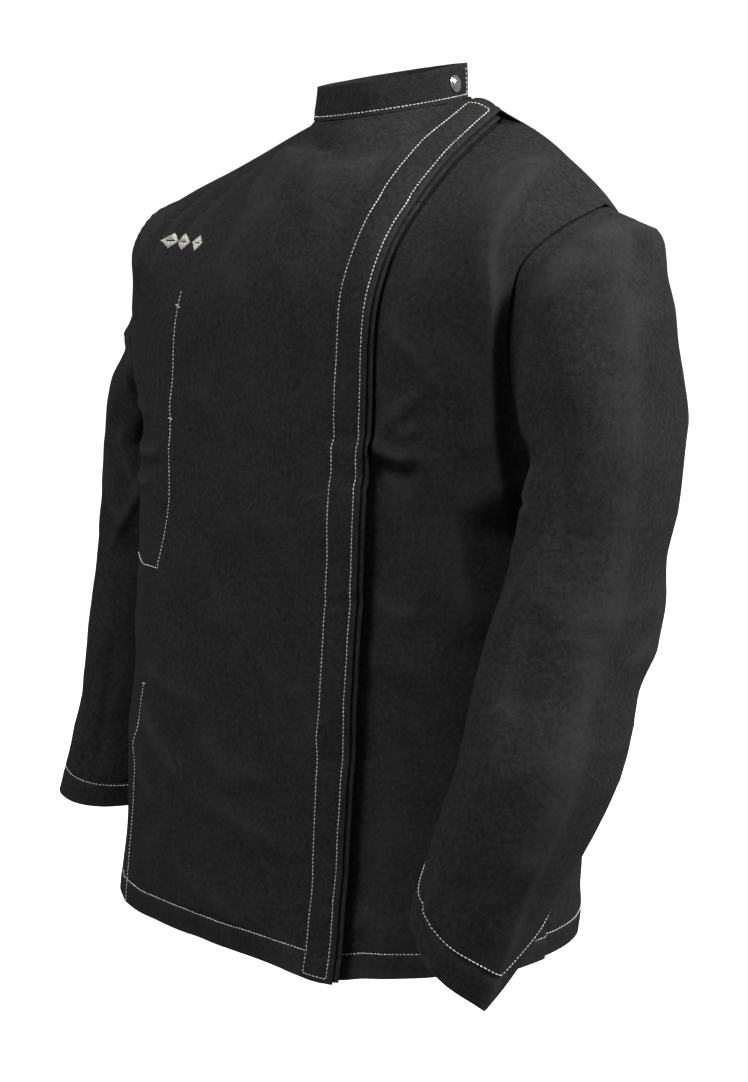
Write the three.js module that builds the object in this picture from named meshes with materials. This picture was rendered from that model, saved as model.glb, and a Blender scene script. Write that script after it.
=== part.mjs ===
// A welding jacket: a stand-collar work jacket whose right front laps over the left one
// and closes with snaps under a stitched strip that runs from the neck down to the hem.
// Millimetres. +Z is up, the front faces -Y and the wearer's left is +X.
// The origin is the centre of the neck opening, where a hanger's hook comes out.
import * as THREE from 'three';
import { mergeVertices } from 'three/addons/utils/BufferGeometryUtils.js';

// ---- Driving dimensions: body ----
const BODY_LENGTH = 722;           // neck to hem, along Z
const HEM_HALF = 240;
// Depth of the hem at places across the body, from -HEM_HALF at the right side seam to HEM_HALF.
const FRONT_HEM = [[-240, 722], [-150, 719], [-75, 712], [0, 709], [60, 708], [118, 709], [150, 701],
  [200, 692], [240, 688]];
const BACK_HEM = [[-240, 722], [-80, 716], [80, 704], [240, 688]];
const LEAN = 0.095;                // the body's middle comes forward this much per mm down
const LEAN_START = -5;
const SECTION_POWER = 2.35;        // 2 would be an ellipse, more is squarer
const WAIST_HALF = 231;
const HEM_FLARE = 9;
const CHEST_FLARE = 42;
const CHEST_POWER = 1.3;
const ARMPIT_DEPTH = 300;
const FRONT_DEPTH = [149, 131];    // middle of the body to its front, at the neck and the hem
const BACK_DEPTH = [105, 143];
const SHOULDER_X = 245;            // neck centre to shoulder point
const SHOULDER_Y = { left: -15, right: 4 };   // the right shoulder is drawn back
const SHOULDER_DROP = 71;
const SHOULDER_ARCH = 12;          // the shoulder seam curves back this much halfway along
const SHOULDER_CURVE = { left: 1.85, right: 1.4 };   // 1 is a straight seam, 2 a rounded one
const PLACKET_RISE = { x: 98, width: 22, height: 6 };   // the stacked layers lift the shoulder here
const ROUNDING = [185, 60];        // height over which the chest rounds in: neck, shoulder point
const ROUNDING_POWER = 2.3;
const ARMHOLE_EDGE = [[71, 245], [90, 236], [125, 222], [180, 216], [235, 221], [275, 228], [300, 231]];

// ---- Driving dimensions: neck and collar ----
const NECK = { x: 66, y: 70 };     // half widths of the neck opening
const COLLAR_HEIGHT = 29;
const NECK_FRONT_Z = -7;           // the neckline rises from here to the back of the neck
const NECK_BACK_Z = 12;
const NECK_LEFT_RISE = 5;
const COLLAR_END = 28;             // degrees behind the wearer's left side
const COLLAR_UNDER_END = -14;
const COLLAR_FOLD = -143;          // where the collar's opening part begins
const COLLAR_DRAW = 0.03;          // the rim is this share narrower than the neckline
const COLLAR_SNAP = { angle: 8, rise: 0.5 };

// ---- Driving dimensions: front opening ----
const PLACKET_EDGE_X = 118;
const PLACKET_WIDTH = 30;
const UNDERLAY_PAST_EDGE = 4;
const UNDERLAY_WIDTH = 48;
const FOLD_X = -104;               // the right front swings about a line here
const FOLD_NECK_X = -70;
const FOLD_TOP = 180;              // below this depth the fold lines are straight
const FOLD_CURVE = 1.5;
const LEFT_FOLD_X = 150;
const LEFT_FOLD_NECK_X = 70;
const LEFT_EDGE_X = 34;            // free edge of the left front, under the right one
const SNAP_X = 103;
const SNAP_DEPTHS = [150, 268, 390, 512, 634];

// ---- Driving dimensions: cloth layers, along the outward normal ----
const CLOTH = 1.6;
const LINING = 1.1;
const STRIP_GAP = 0.6;             // between the cloth and a strip sewn on it
const LINING_GAP = 1.1;            // between the cloth and a lining or facing inside it
const LAP_DEPTH = -9;              // outer face of the left front under the lap
const LAP_RISE = [135, 215];       // x over which it comes up to the outside
const HEM_TURN = 22;
const VENT = { rows: [0.66, 0.96], inner: 0.86, outer: 0.975 };
const POCKET = { rows: [0.3, 0.58], left: -0.86, right: -0.46 };
const POCKET_SEAM_DEPTH = 4;
const POCKET_SLACK = 20;
const FACING_END = 0.96;           // hem facings stop at this column, short of the side seams
const SEAM = 0.99;                 // panels stop just short of the side seams
const FOLD_GAP = 0.006;            // and this many columns short of the fold lines
const ROW_EASE = 1.35;             // rows of points lie closer together near the shoulders
const FULL = [0.006, 0.998];       // rows of a piece that runs from neck to hem
const HEM_ROWS = [1 - HEM_TURN / BODY_LENGTH, 0.998];
const OUTER = [0, -CLOTH];
const INSIDE = -CLOTH - LINING_GAP;

// ---- Driving dimensions: sleeves ----
// Each ring is [depth, x, y, half width, half depth]. Fullness rounds the cap over the shoulder.
// The cuff lies at length, plus slant towards the outer side, minus tilt towards the front.
const LEFT_SLEEVE = {
  rings: [[300, 286, -62, 47, 80], [400, 283, -102, 50, 80], [500, 288, -141, 56, 79],
    [600, 267, -177, 51, 68], [690, 243, -206, 42, 58]],
  fullness: 1.05, length: 628, tilt: -0.36, slant: 0.95,
};
const RIGHT_SLEEVE = {
  rings: [[300, 277, -18, 44, 76], [400, 282, -25, 45, 78], [500, 286, -46, 42, 72],
    [600, 294, -65, 43, 67], [690, 300, -98, 43, 62]],
  fullness: 0.4, length: 655, tilt: 0.02, slant: -0.2,
};
const CAP_END = 12;                // the cap meets the straight sleeve this far below the armpit
const SLEEVE_SEAM = 97;            // degrees from the outer side to the sleeve's long seams
const ELBOW_DEPTH = 430;
const ELBOW_AHEAD = 20;            // the elbow axis is this far in front of the sleeve's middle
const ELBOW_NOTCH = Math.tan(THREE.MathUtils.degToRad(31));
const ELBOW_GAP = 1.2;
const CUFF_ROWS = [0.88, 0.995];    // the cuff's facing, along the forearm

const { clamp, degToRad, lerp, smoothstep } = THREE.MathUtils;
const V = (x, y, z) => new THREE.Vector3(x, y, z);

// ---- Materials ----
const cloth = { color: 0x232324, roughness: 0.9, metalness: 0 };
const lining = { color: 0x2b2b2d, roughness: 0.95, metalness: 0 };
const chrome = { color: 0xd8dadc, roughness: 0.15, metalness: 1 };
const steel = { color: 0x9fa3a6, roughness: 0.35, metalness: 1 };
const webbing = { color: 0x3a3a3c, roughness: 0.8, metalness: 0 };

const jacket = new THREE.Group();

function add(name, geometry, look) {
  const mesh = new THREE.Mesh(geometry, new THREE.MeshStandardMaterial(look));
  mesh.name = name;
  jacket.add(mesh);
  return mesh;
}

// Value on a chain of [at, value] points, eased between neighbours.
function onChain(chain, at) {
  const last = chain.length - 1;
  if (at <= chain[0][0]) return chain[0][1];
  if (at >= chain[last][0]) return chain[last][1];
  const k = chain.findIndex(([edge]) => edge > at) - 1;
  const slope = (i) => {
    const a = chain[Math.max(i - 1, 0)];
    const b = chain[Math.min(i + 1, last)];
    return (b[1] - a[1]) / (b[0] - a[0]);
  };
  const span = chain[k + 1][0] - chain[k][0];
  const t = (at - chain[k][0]) / span;
  const keep = (1 + 2 * t) * (1 - t) ** 2;
  const start = t * (1 - t) ** 2 * span * slope(k);
  const end = t * t * (t - 1) * span * slope(k + 1);
  return chain[k][1] * keep + start + chain[k + 1][1] * (1 - keep) + end;
}

// ---- Body surface ----
const middleY = (depth) => LEAN_START - LEAN * depth;

function bodyHalfWidth(depth) {
  const above = Math.max(0, 1 - depth / ARMPIT_DEPTH);
  return WAIST_HALF + HEM_FLARE * (depth / BODY_LENGTH) ** 2 + CHEST_FLARE * above ** CHEST_POWER;
}

const edgeX = (depth) => (depth < ARMPIT_DEPTH ? onChain(ARMHOLE_EDGE, depth) : bodyHalfWidth(depth));

const neckZ = (x, back) => {
  const forward = Math.sqrt(Math.max(0, 1 - (x / NECK.x) ** 2)) * (back ? 1 : -1);
  const level = lerp(NECK_FRONT_Z, NECK_BACK_Z, (1 + forward) / 2);
  return level + NECK_LEFT_RISE * x / NECK.x;
};

// The top edge of the body cloth: the neckline, then the shoulder seam.
function topZ(x, back) {
  const side = Math.abs(x);
  if (side <= NECK.x) return neckZ(x, back);
  const along = Math.min(1, (side - NECK.x) / (SHOULDER_X - NECK.x));
  const start = neckZ(Math.sign(x) * NECK.x, back);
  const rise = PLACKET_RISE.height * Math.exp(-(((x - PLACKET_RISE.x) / PLACKET_RISE.width) ** 2));
  const curve = x > 0 ? SHOULDER_CURVE.left : SHOULDER_CURVE.right;
  return start - (start + SHOULDER_DROP) * along ** curve + rise;
}

function topY(x, back) {
  const side = Math.abs(x);
  if (side <= NECK.x) return NECK.y * Math.sqrt(1 - (side / NECK.x) ** 2) * (back ? 1 : -1);
  const along = Math.min(1, (side - NECK.x) / (SHOULDER_X - NECK.x));
  const end = x > 0 ? SHOULDER_Y.left : SHOULDER_Y.right;
  return end * along + SHOULDER_ARCH * Math.sin(Math.PI * along);
}

function bodyY(x, z, back) {
  const depth = -z;
  const side = Math.min(1, Math.abs(x) / bodyHalfWidth(depth));
  const reach = back ? BACK_DEPTH : FRONT_DEPTH;
  const section = (1 - side ** SECTION_POWER) ** (1 / SECTION_POWER);
  const out = lerp(reach[0], reach[1], depth / BODY_LENGTH) * section;
  const base = middleY(depth) + (back ? out : -out);
  const round = lerp(ROUNDING[0], ROUNDING[1], smoothstep(Math.abs(x), PLACKET_EDGE_X, SHOULDER_X));
  const fall = clamp((topZ(x, back) - z) / round, 0, 1);
  return lerp(topY(x, back), base, 1 - (1 - fall) ** ROUNDING_POWER);
}

// A point of the body cloth. column runs from -1, the right side seam, to 1, the left one;
// row runs from 0, the top edge, to 1, the hem.
function bodyPoint(column, row, back = false) {
  const share = Math.sin(column * Math.PI / 2);
  const top = topZ(SHOULDER_X * share, back);
  const hem = -onChain(back ? BACK_HEM : FRONT_HEM, HEM_HALF * share);
  const z = lerp(top, hem, row);
  const x = edgeX(-z) * share;
  return V(x, bodyY(x, z, back), z);
}

const columnAt = (x, row) => 2 / Math.PI * Math.asin(clamp(x / edgeX(BODY_LENGTH * row), -1, 1));
// A place inside the body, a little below p, to tell outwards from inwards.
const bodyCore = (p) => V(0, middleY(-p.z), p.z - 40);

// A fold line: straight below FOLD_TOP, and curving in to the neckline above it.
function foldX(straight, atNeck, row) {
  const above = Math.max(0, 1 - BODY_LENGTH * row / FOLD_TOP);
  return lerp(straight, atNeck, above ** FOLD_CURVE);
}

// ---- Solids from surfaces ----
// point(a, b) gives the surface for a and b from 0 to 1, and core(p) a place inside it.
// outer and inner are distances along the outward normal, shifted by depthAt(p).
function sheet(point, core, columns, rows, outer, inner, depthAt = () => 0) {
  const positions = [];
  const faces = [];
  const step = 1e-3;
  for (const layer of [outer, inner]) {
    for (let j = 0; j <= rows; j += 1) {
      for (let i = 0; i <= columns; i += 1) {
        const [a, b] = [i / columns, j / rows];
        const here = point(a, b);
        const alongA = point(Math.min(1, a + step), b).sub(point(Math.max(0, a - step), b));
        const alongB = point(a, Math.min(1, b + step)).sub(point(a, Math.max(0, b - step)));
        const normal = alongA.cross(alongB).normalize();
        if (normal.dot(here.clone().sub(core(here))) < 0) normal.negate();
        const p = here.clone().addScaledVector(normal, layer + depthAt(here));
        positions.push(p.x, p.y, p.z);
      }
    }
  }
  const id = (layer, i, j) => (layer * (rows + 1) + j) * (columns + 1) + i;
  const quad = (a, b, c, d) => faces.push(a, b, c, a, c, d);
  for (let j = 0; j < rows; j += 1) {
    for (let i = 0; i < columns; i += 1) {
      quad(id(0, i, j), id(0, i + 1, j), id(0, i + 1, j + 1), id(0, i, j + 1));
      quad(id(1, i, j), id(1, i, j + 1), id(1, i + 1, j + 1), id(1, i + 1, j));
    }
  }
  for (let i = 0; i < columns; i += 1) {
    quad(id(0, i, 0), id(1, i, 0), id(1, i + 1, 0), id(0, i + 1, 0));
    quad(id(0, i, rows), id(0, i + 1, rows), id(1, i + 1, rows), id(1, i, rows));
  }
  for (let j = 0; j < rows; j += 1) {
    quad(id(0, 0, j), id(0, 0, j + 1), id(1, 0, j + 1), id(1, 0, j));
    quad(id(0, columns, j), id(1, columns, j), id(1, columns, j + 1), id(0, columns, j + 1));
  }
  return facingOut(positions, faces);
}

function facingOut(positions, faces) {
  const corner = (k) => V(...positions.slice(3 * faces[k], 3 * faces[k] + 3));
  let volume = 0;
  for (let k = 0; k < faces.length; k += 3) {
    volume += corner(k).dot(corner(k + 1).cross(corner(k + 2)));
  }
  if (volume < 0) {
    for (let k = 0; k < faces.length; k += 3) [faces[k], faces[k + 1]] = [faces[k + 1], faces[k]];
  }
  const geometry = new THREE.BufferGeometry();
  geometry.setAttribute('position', new THREE.Float32BufferAttribute(positions, 3));
  geometry.setIndex(faces);
  geometry.computeVertexNormals();
  return geometry;
}

// Cloth on the body between two column lines and two rows. left and right take a row.
function bodySheet(name, look, area) {
  const { left, right, rows = FULL, back = false, size, layers, depthAt } = area;
  const point = (a, b) => {
    const row = lerp(rows[0], rows[1], b ** ROW_EASE);
    return bodyPoint(lerp(left(row), right(row), a), row, back);
  };
  add(name, sheet(point, bodyCore, size[0], size[1], layers[0], layers[1], depthAt), look);
}

const always = (value) => () => value;
const atX = (x) => (row) => columnAt(x, row);
const rightFold = (row) => columnAt(foldX(FOLD_X, FOLD_NECK_X, row), row);
const leftFold = (row) => columnAt(foldX(LEFT_FOLD_X, LEFT_FOLD_NECK_X, row), row);
const beside = (line, step) => (row) => line(row) + step;
// The left front lies under the lap and comes up to the outside towards its side seam.
const lapDepth = (p) => LAP_DEPTH * (1 - smoothstep(p.x, LAP_RISE[0], LAP_RISE[1]));
const backing = (from, thick = LINING) => [from, from - thick];

// ---- Body pieces ----
function backPieces() {
  const whole = { left: always(-SEAM), right: always(SEAM), back: true };
  bodySheet('back_panel', cloth, { ...whole, size: [28, 14], layers: OUTER });
  bodySheet('back_hem_facing', lining,
    { ...whole, left: always(-FACING_END), right: always(FACING_END), rows: HEM_ROWS, size: [18, 1],
      layers: backing(INSIDE) });
  bodySheet('back_neck_facing', lining,
    { left: always(-0.2), right: always(0.2), rows: [0.015, 0.085], back: true, size: [10, 3],
      layers: backing(INSIDE - 2) });
  bodySheet('neck_label', webbing,
    { left: always(-0.07), right: always(0.07), rows: [0.035, 0.075], back: true, size: [2, 1],
      layers: backing(INSIDE - 2 - LINING - LINING_GAP, 0.7) });
}

function rightFrontPieces() {
  const side = { left: always(-SEAM), right: beside(rightFold, -FOLD_GAP) };
  bodySheet('right_front_side', cloth, { ...side, size: [9, 16], layers: OUTER });
  bodySheet('right_side_hem_facing', lining,
    { ...side, left: always(-FACING_END), rows: HEM_ROWS, size: [6, 1], layers: backing(INSIDE) });
  bodySheet('right_vent_facing', lining,
    { left: always(-VENT.outer), right: always(-VENT.inner), rows: VENT.rows, size: [2, 4],
      layers: backing(INSIDE) });
  innerPocket();
}

// A patch on the inside of the right front, open at the top, that stands off the cloth.
function innerPocket() {
  const point = (a, b) => {
    const slack = POCKET_SEAM_DEPTH + POCKET_SLACK * Math.sin(Math.PI * a) * (1 - b ** 6);
    const p = bodyPoint(lerp(POCKET.left, POCKET.right, a), lerp(POCKET.rows[0], POCKET.rows[1], b));
    const inward = bodyCore(p).setZ(p.z).sub(p).normalize();
    return p.addScaledVector(inward, slack);
  };
  add('inner_pocket', sheet(point, bodyCore, 10, 8, 0, -LINING), lining);
}

function flapPieces() {
  const flap = { left: beside(rightFold, FOLD_GAP), right: atX(PLACKET_EDGE_X) };
  bodySheet('right_front_flap', cloth, { ...flap, size: [14, 16], layers: OUTER });
  bodySheet('placket_strip', cloth,
    { left: atX(PLACKET_EDGE_X - PLACKET_WIDTH), right: atX(PLACKET_EDGE_X), size: [3, 16],
      layers: [STRIP_GAP + LINING, STRIP_GAP] });
  const underlayRight = PLACKET_EDGE_X + UNDERLAY_PAST_EDGE;
  bodySheet('fly_underlay', lining,
    { left: atX(underlayRight - UNDERLAY_WIDTH), right: atX(underlayRight), size: [4, 16],
      layers: backing(INSIDE) });
  bodySheet('flap_hem_facing', lining,
    { left: beside(rightFold, 2 * FOLD_GAP), right: atX(underlayRight - UNDERLAY_WIDTH - 2), rows: HEM_ROWS,
      size: [8, 1], layers: backing(INSIDE) });
}

function leftFrontPieces() {
  const side = { left: beside(leftFold, FOLD_GAP), right: always(SEAM), depthAt: lapDepth };
  bodySheet('left_front_side', cloth, { ...side, size: [10, 16], layers: OUTER });
  bodySheet('left_side_hem_facing', lining,
    { ...side, right: always(FACING_END), rows: HEM_ROWS, size: [5, 1], layers: backing(INSIDE) });
  bodySheet('left_vent_facing', lining,
    { left: always(VENT.inner), right: always(VENT.outer), rows: VENT.rows, size: [2, 4],
      layers: backing(INSIDE), depthAt: lapDepth });
  const lap = { left: atX(LEFT_EDGE_X), right: beside(leftFold, -FOLD_GAP), depthAt: lapDepth };
  bodySheet('left_front_lap', cloth, { ...lap, size: [8, 16], layers: OUTER });
  bodySheet('stud_facing', lining,
    { ...lap, left: atX(SNAP_X - 20), right: atX(SNAP_X + 20), rows: [0.17, 0.995], size: [4, 16],
      layers: backing(INSIDE - 1) });
  bodySheet('lap_hem_facing', lining,
    { ...lap, left: atX(LEFT_EDGE_X + 2), right: atX(SNAP_X - 22), rows: HEM_ROWS, size: [3, 1],
      layers: backing(INSIDE) });
}

// ---- Collar ----
// A point of the collar: angle in degrees from the wearer's left towards the back,
// rise from 0 at the neckline to 1 at the rim.
function collarPoint(angle, rise) {
  const turn = degToRad(angle);
  const forward = Math.sin(turn);
  const base = lerp(NECK_FRONT_Z, NECK_BACK_Z, (1 + forward) / 2) + NECK_LEFT_RISE * Math.cos(turn);
  const height = COLLAR_HEIGHT * lerp(0.02, 1, rise);
  const draw = 1 - COLLAR_DRAW * rise;
  return V(NECK.x * draw * Math.cos(turn), NECK.y * draw * forward, base + height);
}

const collarCore = (p) => V(0, 0, p.z);

function collarSheet(name, look, from, to, columns, layers, depthAt) {
  const point = (a, b) => collarPoint(lerp(from, to, a), lerp(0.06, 0.99, b));
  add(name, sheet(point, collarCore, columns, 2, layers[0], layers[1], depthAt), look);
}

function collarPieces() {
  const layer = [0, -LINING];
  const inner = backing(-LINING - STRIP_GAP);
  const under = (p) => {
    const angle = THREE.MathUtils.radToDeg(Math.atan2(p.y / NECK.y, p.x / NECK.x));
    return angle > -90 ? LAP_DEPTH * (1 - smoothstep(angle, COLLAR_END + 4, COLLAR_END + 34)) : 0;
  };
  const foldBehind = 360 + COLLAR_FOLD - 1;
  collarSheet('collar_back_outer', cloth, COLLAR_UNDER_END, foldBehind, 22, layer, under);
  collarSheet('collar_back_lining', lining, COLLAR_UNDER_END, foldBehind, 22, inner, under);
  collarSheet('collar_front_outer', cloth, COLLAR_FOLD + 1, COLLAR_END, 18, layer);
  collarSheet('collar_front_lining', lining, COLLAR_FOLD + 1, COLLAR_END, 18, inner);
}

// ---- Snaps ----
// A turned piece from [radius, height] points, its axis laid along a direction.
function turned(name, outline, place, axis, look, sides = 12) {
  const profile = outline.map(([radius, height]) => new THREE.Vector2(radius, height));
  const geometry = new THREE.LatheGeometry(profile, sides);
  geometry.deleteAttribute('normal');
  geometry.deleteAttribute('uv');
  const merged = mergeVertices(geometry, 1e-4);
  const closed = facingOut(Array.from(merged.attributes.position.array), Array.from(merged.index.array));
  const mesh = add(name, closed, look);
  mesh.position.copy(place);
  mesh.quaternion.setFromUnitVectors(V(0, 1, 0), axis);
}

// Heights are along the outward normal from the cloth's outer face.
const SOCKET = [[3.4, -6.7], [6.2, -6.7], [6.2, -5.3], [3.4, -5.3], [3.4, -6.7]];
const STUD = [[0, -8.4], [5.6, -8.4], [5.6, -7.5], [2.1, -7.5], [2.1, -5.6], [0, -5.6]];
const CAP = [[0, 0.6], [6.8, 0.6], [7, 1.3], [6, 2.4], [3.8, 3.2], [0, 3.6]];

function normalAt(point, core, a, b) {
  const step = 0.002;
  const across = point(a + step, b).sub(point(a - step, b));
  const down = point(a, b + step).sub(point(a, b - step));
  const normal = across.cross(down).normalize();
  const here = point(a, b);
  return normal.dot(here.clone().sub(core(here))) < 0 ? normal.negate() : normal;
}

function snaps() {
  SNAP_DEPTHS.forEach((depth, k) => {
    const row = depth / BODY_LENGTH;
    const column = columnAt(SNAP_X, row);
    const place = bodyPoint(column, row);
    const axis = normalAt(bodyPoint, bodyCore, column, row);
    turned(`placket_socket_${k + 1}`, SOCKET, place, axis, steel);
    turned(`placket_stud_${k + 1}`, STUD, place, axis, steel);
  });
  const place = collarPoint(COLLAR_SNAP.angle, COLLAR_SNAP.rise);
  const axis = place.clone().sub(collarCore(place)).normalize();
  turned('collar_snap_cap', CAP, place, axis, chrome, 20);
  turned('collar_snap_socket', SOCKET, place, axis, steel);
  turned('collar_snap_stud', STUD, place, axis, steel);
}

// ---- Sleeves ----
const sleeveAt = (sleeve, column, depth) =>
  onChain(sleeve.rings.map((ring) => [ring[0], ring[column]]), depth);

// The armhole, by degrees from the shoulder point (0) over the front (90) to the armpit (180).
function armholePoint(side, angle) {
  const turn = ((angle % 360) + 360) % 360;
  const back = turn > 180;
  const down = (1 - Math.cos(degToRad(turn))) / 2;
  const z = lerp(-SHOULDER_DROP, -ARMPIT_DEPTH, down);
  const x = edgeX(-z);
  return V(side * (x + 3), bodyY(side * x, z, back), z);
}

function ringPoint(sleeve, side, angle, depth) {
  const turn = degToRad(angle);
  const reach = (column) => sleeveAt(sleeve, column, depth);
  return V(side * (reach(1) + reach(3) * Math.cos(turn)), reach(2) - reach(4) * Math.sin(turn), -depth);
}

// From the armhole, out and over, down to the first ring of the sleeve.
function capPoint(sleeve, side, angle, t) {
  const start = armholePoint(side, angle);
  const end = ringPoint(sleeve, side, angle, sleeve.rings[0][0] + CAP_END);
  const reach = start.distanceTo(end) * sleeve.fullness;
  const out = V(side * 0.82, 0, -0.57).multiplyScalar(reach);
  const down = V(0, -0.2, -0.98).multiplyScalar(reach);
  const keep = (1 + 2 * t) * (1 - t) ** 2;
  return start.multiplyScalar(keep).addScaledVector(end, 1 - keep)
    .addScaledVector(out, t * (1 - t) ** 2).addScaledVector(down, t * t * (t - 1));
}

const elbowY = (sleeve) => sleeveAt(sleeve, 2, ELBOW_DEPTH) - ELBOW_AHEAD;
const elbowCut = (sleeve, p) => Math.max(0, elbowY(sleeve) - p.y) * ELBOW_NOTCH;

function upperPoint(sleeve, side, angle, b) {
  const capShare = 0.5;
  if (b <= capShare) return capPoint(sleeve, side, angle, b / capShare);
  const end = ringPoint(sleeve, side, angle, ELBOW_DEPTH);
  const bottom = ELBOW_DEPTH - ELBOW_GAP / 2 - elbowCut(sleeve, end);
  const below = (b - capShare) / (1 - capShare);
  return ringPoint(sleeve, side, angle, lerp(sleeve.rings[0][0] + CAP_END, bottom, below));
}

function forearmPoint(sleeve, side, angle, b) {
  const turn = degToRad(angle);
  const outward = sleeveAt(sleeve, 3, sleeve.length) * Math.cos(turn);
  const forward = sleeveAt(sleeve, 4, sleeve.length) * Math.sin(turn);
  const start = ELBOW_DEPTH + ELBOW_GAP / 2 + elbowCut(sleeve, ringPoint(sleeve, side, angle, ELBOW_DEPTH));
  const end = sleeve.length + sleeve.slant * outward - sleeve.tilt * forward;
  return ringPoint(sleeve, side, angle, lerp(start, end, b));
}

function sleevePieces(name, sleeve, side) {
  const core = (p) => V(side * sleeveAt(sleeve, 1, -p.z), sleeveAt(sleeve, 2, -p.z), p.z);
  const capCore = (p) => (p.z > -sleeve.rings[0][0] ? V(side * 215, -50, -260) : core(p));
  const halves = { top: [-SLEEVE_SEAM + 0.5, SLEEVE_SEAM - 0.5], under: [SLEEVE_SEAM, 360 - SLEEVE_SEAM] };
  for (const [half, [from, to]] of Object.entries(halves)) {
    const upper = (a, b) => upperPoint(sleeve, side, lerp(from, to, a), lerp(0.01, 1, b));
    const fore = (a, b) => forearmPoint(sleeve, side, lerp(from, to, a), b);
    const turnUp = (a, b) => {
      const along = lerp(CUFF_ROWS[0], CUFF_ROWS[1], b);
      return forearmPoint(sleeve, side, lerp(from + 3, to - 3, a), along);
    };
    add(`${name}_upper_${half}`, sheet(upper, capCore, 10, 9, 0, -CLOTH), cloth);
    add(`${name}_forearm_${half}`, sheet(fore, core, 10, 6, 0, -CLOTH), cloth);
    add(`${name}_cuff_facing_${half}`, sheet(turnUp, core, 8, 1, ...backing(INSIDE)), lining);
  }
}

// ---- Hang loop ----
function hangLoop() {
  const half = [V(0, 51, -17), V(12, 52, -15), V(24, 54, -6), V(26, 56, 4)];
  const mirrored = half.slice(1).reverse().map((p) => p.clone().setX(-p.x));
  const path = new THREE.CatmullRomCurve3([...mirrored, ...half]);
  const section = [[-1, -3.5], [1, -3.5], [1, 3.5], [-1, 3.5]];
  const strap = new THREE.Shape(section.map(([x, y]) => new THREE.Vector2(x, y)));
  const geometry = new THREE.ExtrudeGeometry(strap, { extrudePath: path, steps: 16 });
  geometry.deleteAttribute('normal');
  geometry.deleteAttribute('uv');
  add('hang_loop', mergeVertices(geometry, 1e-4), webbing);
}

backPieces();
rightFrontPieces();
flapPieces();
leftFrontPieces();
collarPieces();
snaps();
sleevePieces('left_sleeve', LEFT_SLEEVE, 1);
sleevePieces('right_sleeve', RIGHT_SLEEVE, -1);
hangLoop();

export default jacket;
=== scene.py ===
"""A black welding jacket: a stand collar, a lapped front with a stitched placket, set-in sleeves.

Lengths are in millimetres in the shape functions and become metres when a mesh is made. Camera,
light and floor are in metres.
"""

import math

import bpy
import numpy as np
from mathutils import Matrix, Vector


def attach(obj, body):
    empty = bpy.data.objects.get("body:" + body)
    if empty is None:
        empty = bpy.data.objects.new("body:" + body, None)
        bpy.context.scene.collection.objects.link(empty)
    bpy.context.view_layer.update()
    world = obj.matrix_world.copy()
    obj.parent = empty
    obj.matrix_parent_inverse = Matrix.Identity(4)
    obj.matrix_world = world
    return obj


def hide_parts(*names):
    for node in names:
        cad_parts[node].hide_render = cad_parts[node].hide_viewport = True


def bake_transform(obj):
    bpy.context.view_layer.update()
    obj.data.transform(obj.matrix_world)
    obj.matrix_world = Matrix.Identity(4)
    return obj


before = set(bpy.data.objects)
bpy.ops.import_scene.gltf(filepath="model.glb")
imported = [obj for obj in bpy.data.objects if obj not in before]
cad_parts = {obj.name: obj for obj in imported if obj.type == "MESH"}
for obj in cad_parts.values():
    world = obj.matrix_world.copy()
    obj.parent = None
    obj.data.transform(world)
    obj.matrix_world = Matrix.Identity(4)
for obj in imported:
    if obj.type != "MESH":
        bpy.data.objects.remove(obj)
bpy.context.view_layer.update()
MM = 0.001

# ---- Camera: angles in degrees, the lens in millimetres ----
CAMERA_AZIMUTH = 43.0
CAMERA_TURN = 0.5
CAMERA_DISTANCE = 1.882
CAMERA_PITCH = 11.4
CAMERA_LENS = 70.8

# ---- Light ----
AMBIENT = 0.22
KEY_POWER = 150
KEY_PLACE = (2.5, 0.9, 1.7)
FRONT_POWER = 80
FRONT_PLACE = (0.1, -1.9, 2.3)
LAMP_SIZE = 0.9
FLOOR_Z = -0.86
FLOOR_HALF = 30.0
BACKDROP_RADIUS = 28.0

# ---- Body, as in the CAD model ----
BODY_LENGTH = 722.0
HEM_HALF = 240.0
FRONT_HEM = [(-240, 722), (-150, 719), (-75, 712), (0, 709), (60, 708), (118, 709),
             (150, 701), (200, 692), (240, 688)]
BACK_HEM = [(-240, 722), (-80, 716), (80, 704), (240, 688)]
LEAN = 0.095
LEAN_START = -5.0
SECTION_POWER = 2.35
WAIST_HALF = 231.0
HEM_FLARE = 9.0
CHEST_FLARE = 42.0
ARMPIT_DEPTH = 300.0
FRONT_DEPTH = (149.0, 131.0)      # from the middle to the front, at the neck and at the hem
BACK_DEPTH = (105.0, 143.0)       # and to the back
SHOULDER_X = 245.0
SHOULDER_Y = (4.0, -15.0)         # right and left: the right shoulder is drawn back
SHOULDER_DROP = 71.0
SHOULDER_ARCH = 12.0
SHOULDER_CURVE = (1.4, 1.85)      # right and left: 1 is a straight seam, 2 a rounded one
ROUNDING = (185.0, 60.0)          # how far down the shoulder rounds over, inside and outside
ROUNDING_POWER = 2.3
ARMHOLE_EDGE = [(71, 245), (90, 236), (125, 222), (180, 216), (235, 221), (275, 228), (300, 231)]
NECK = (66.0, 70.0)               # the neck's half width and half depth
COLLAR_HEIGHT = 29.0
COLLAR_SEAM = 3.5                 # its lower stitches, above its lower edge
COLLAR_START = -14.0              # the part that follows the torso: its first angle, in degrees
NECK_FRONT_Z = -7.0
NECK_BACK_Z = 12.0
NECK_LEFT_RISE = 5.0
PLACKET_RISE = (98.0, 22.0, 6.0)  # the stacked layers lift the shoulder here: x, width, height
COLLAR_END = 28.0
COLLAR_FOLD = -143.0
COLLAR_SNAP_ANGLE = 8.0
PLACKET_EDGE_X = 118.0
PLACKET_WIDTH = 30.0
FOLD_X = (-104.0, -70.0)          # where the flap bends, below FOLD_TOP and at the neck
LEFT_FOLD_X = (150.0, 70.0)       # and where the lap does
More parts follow.
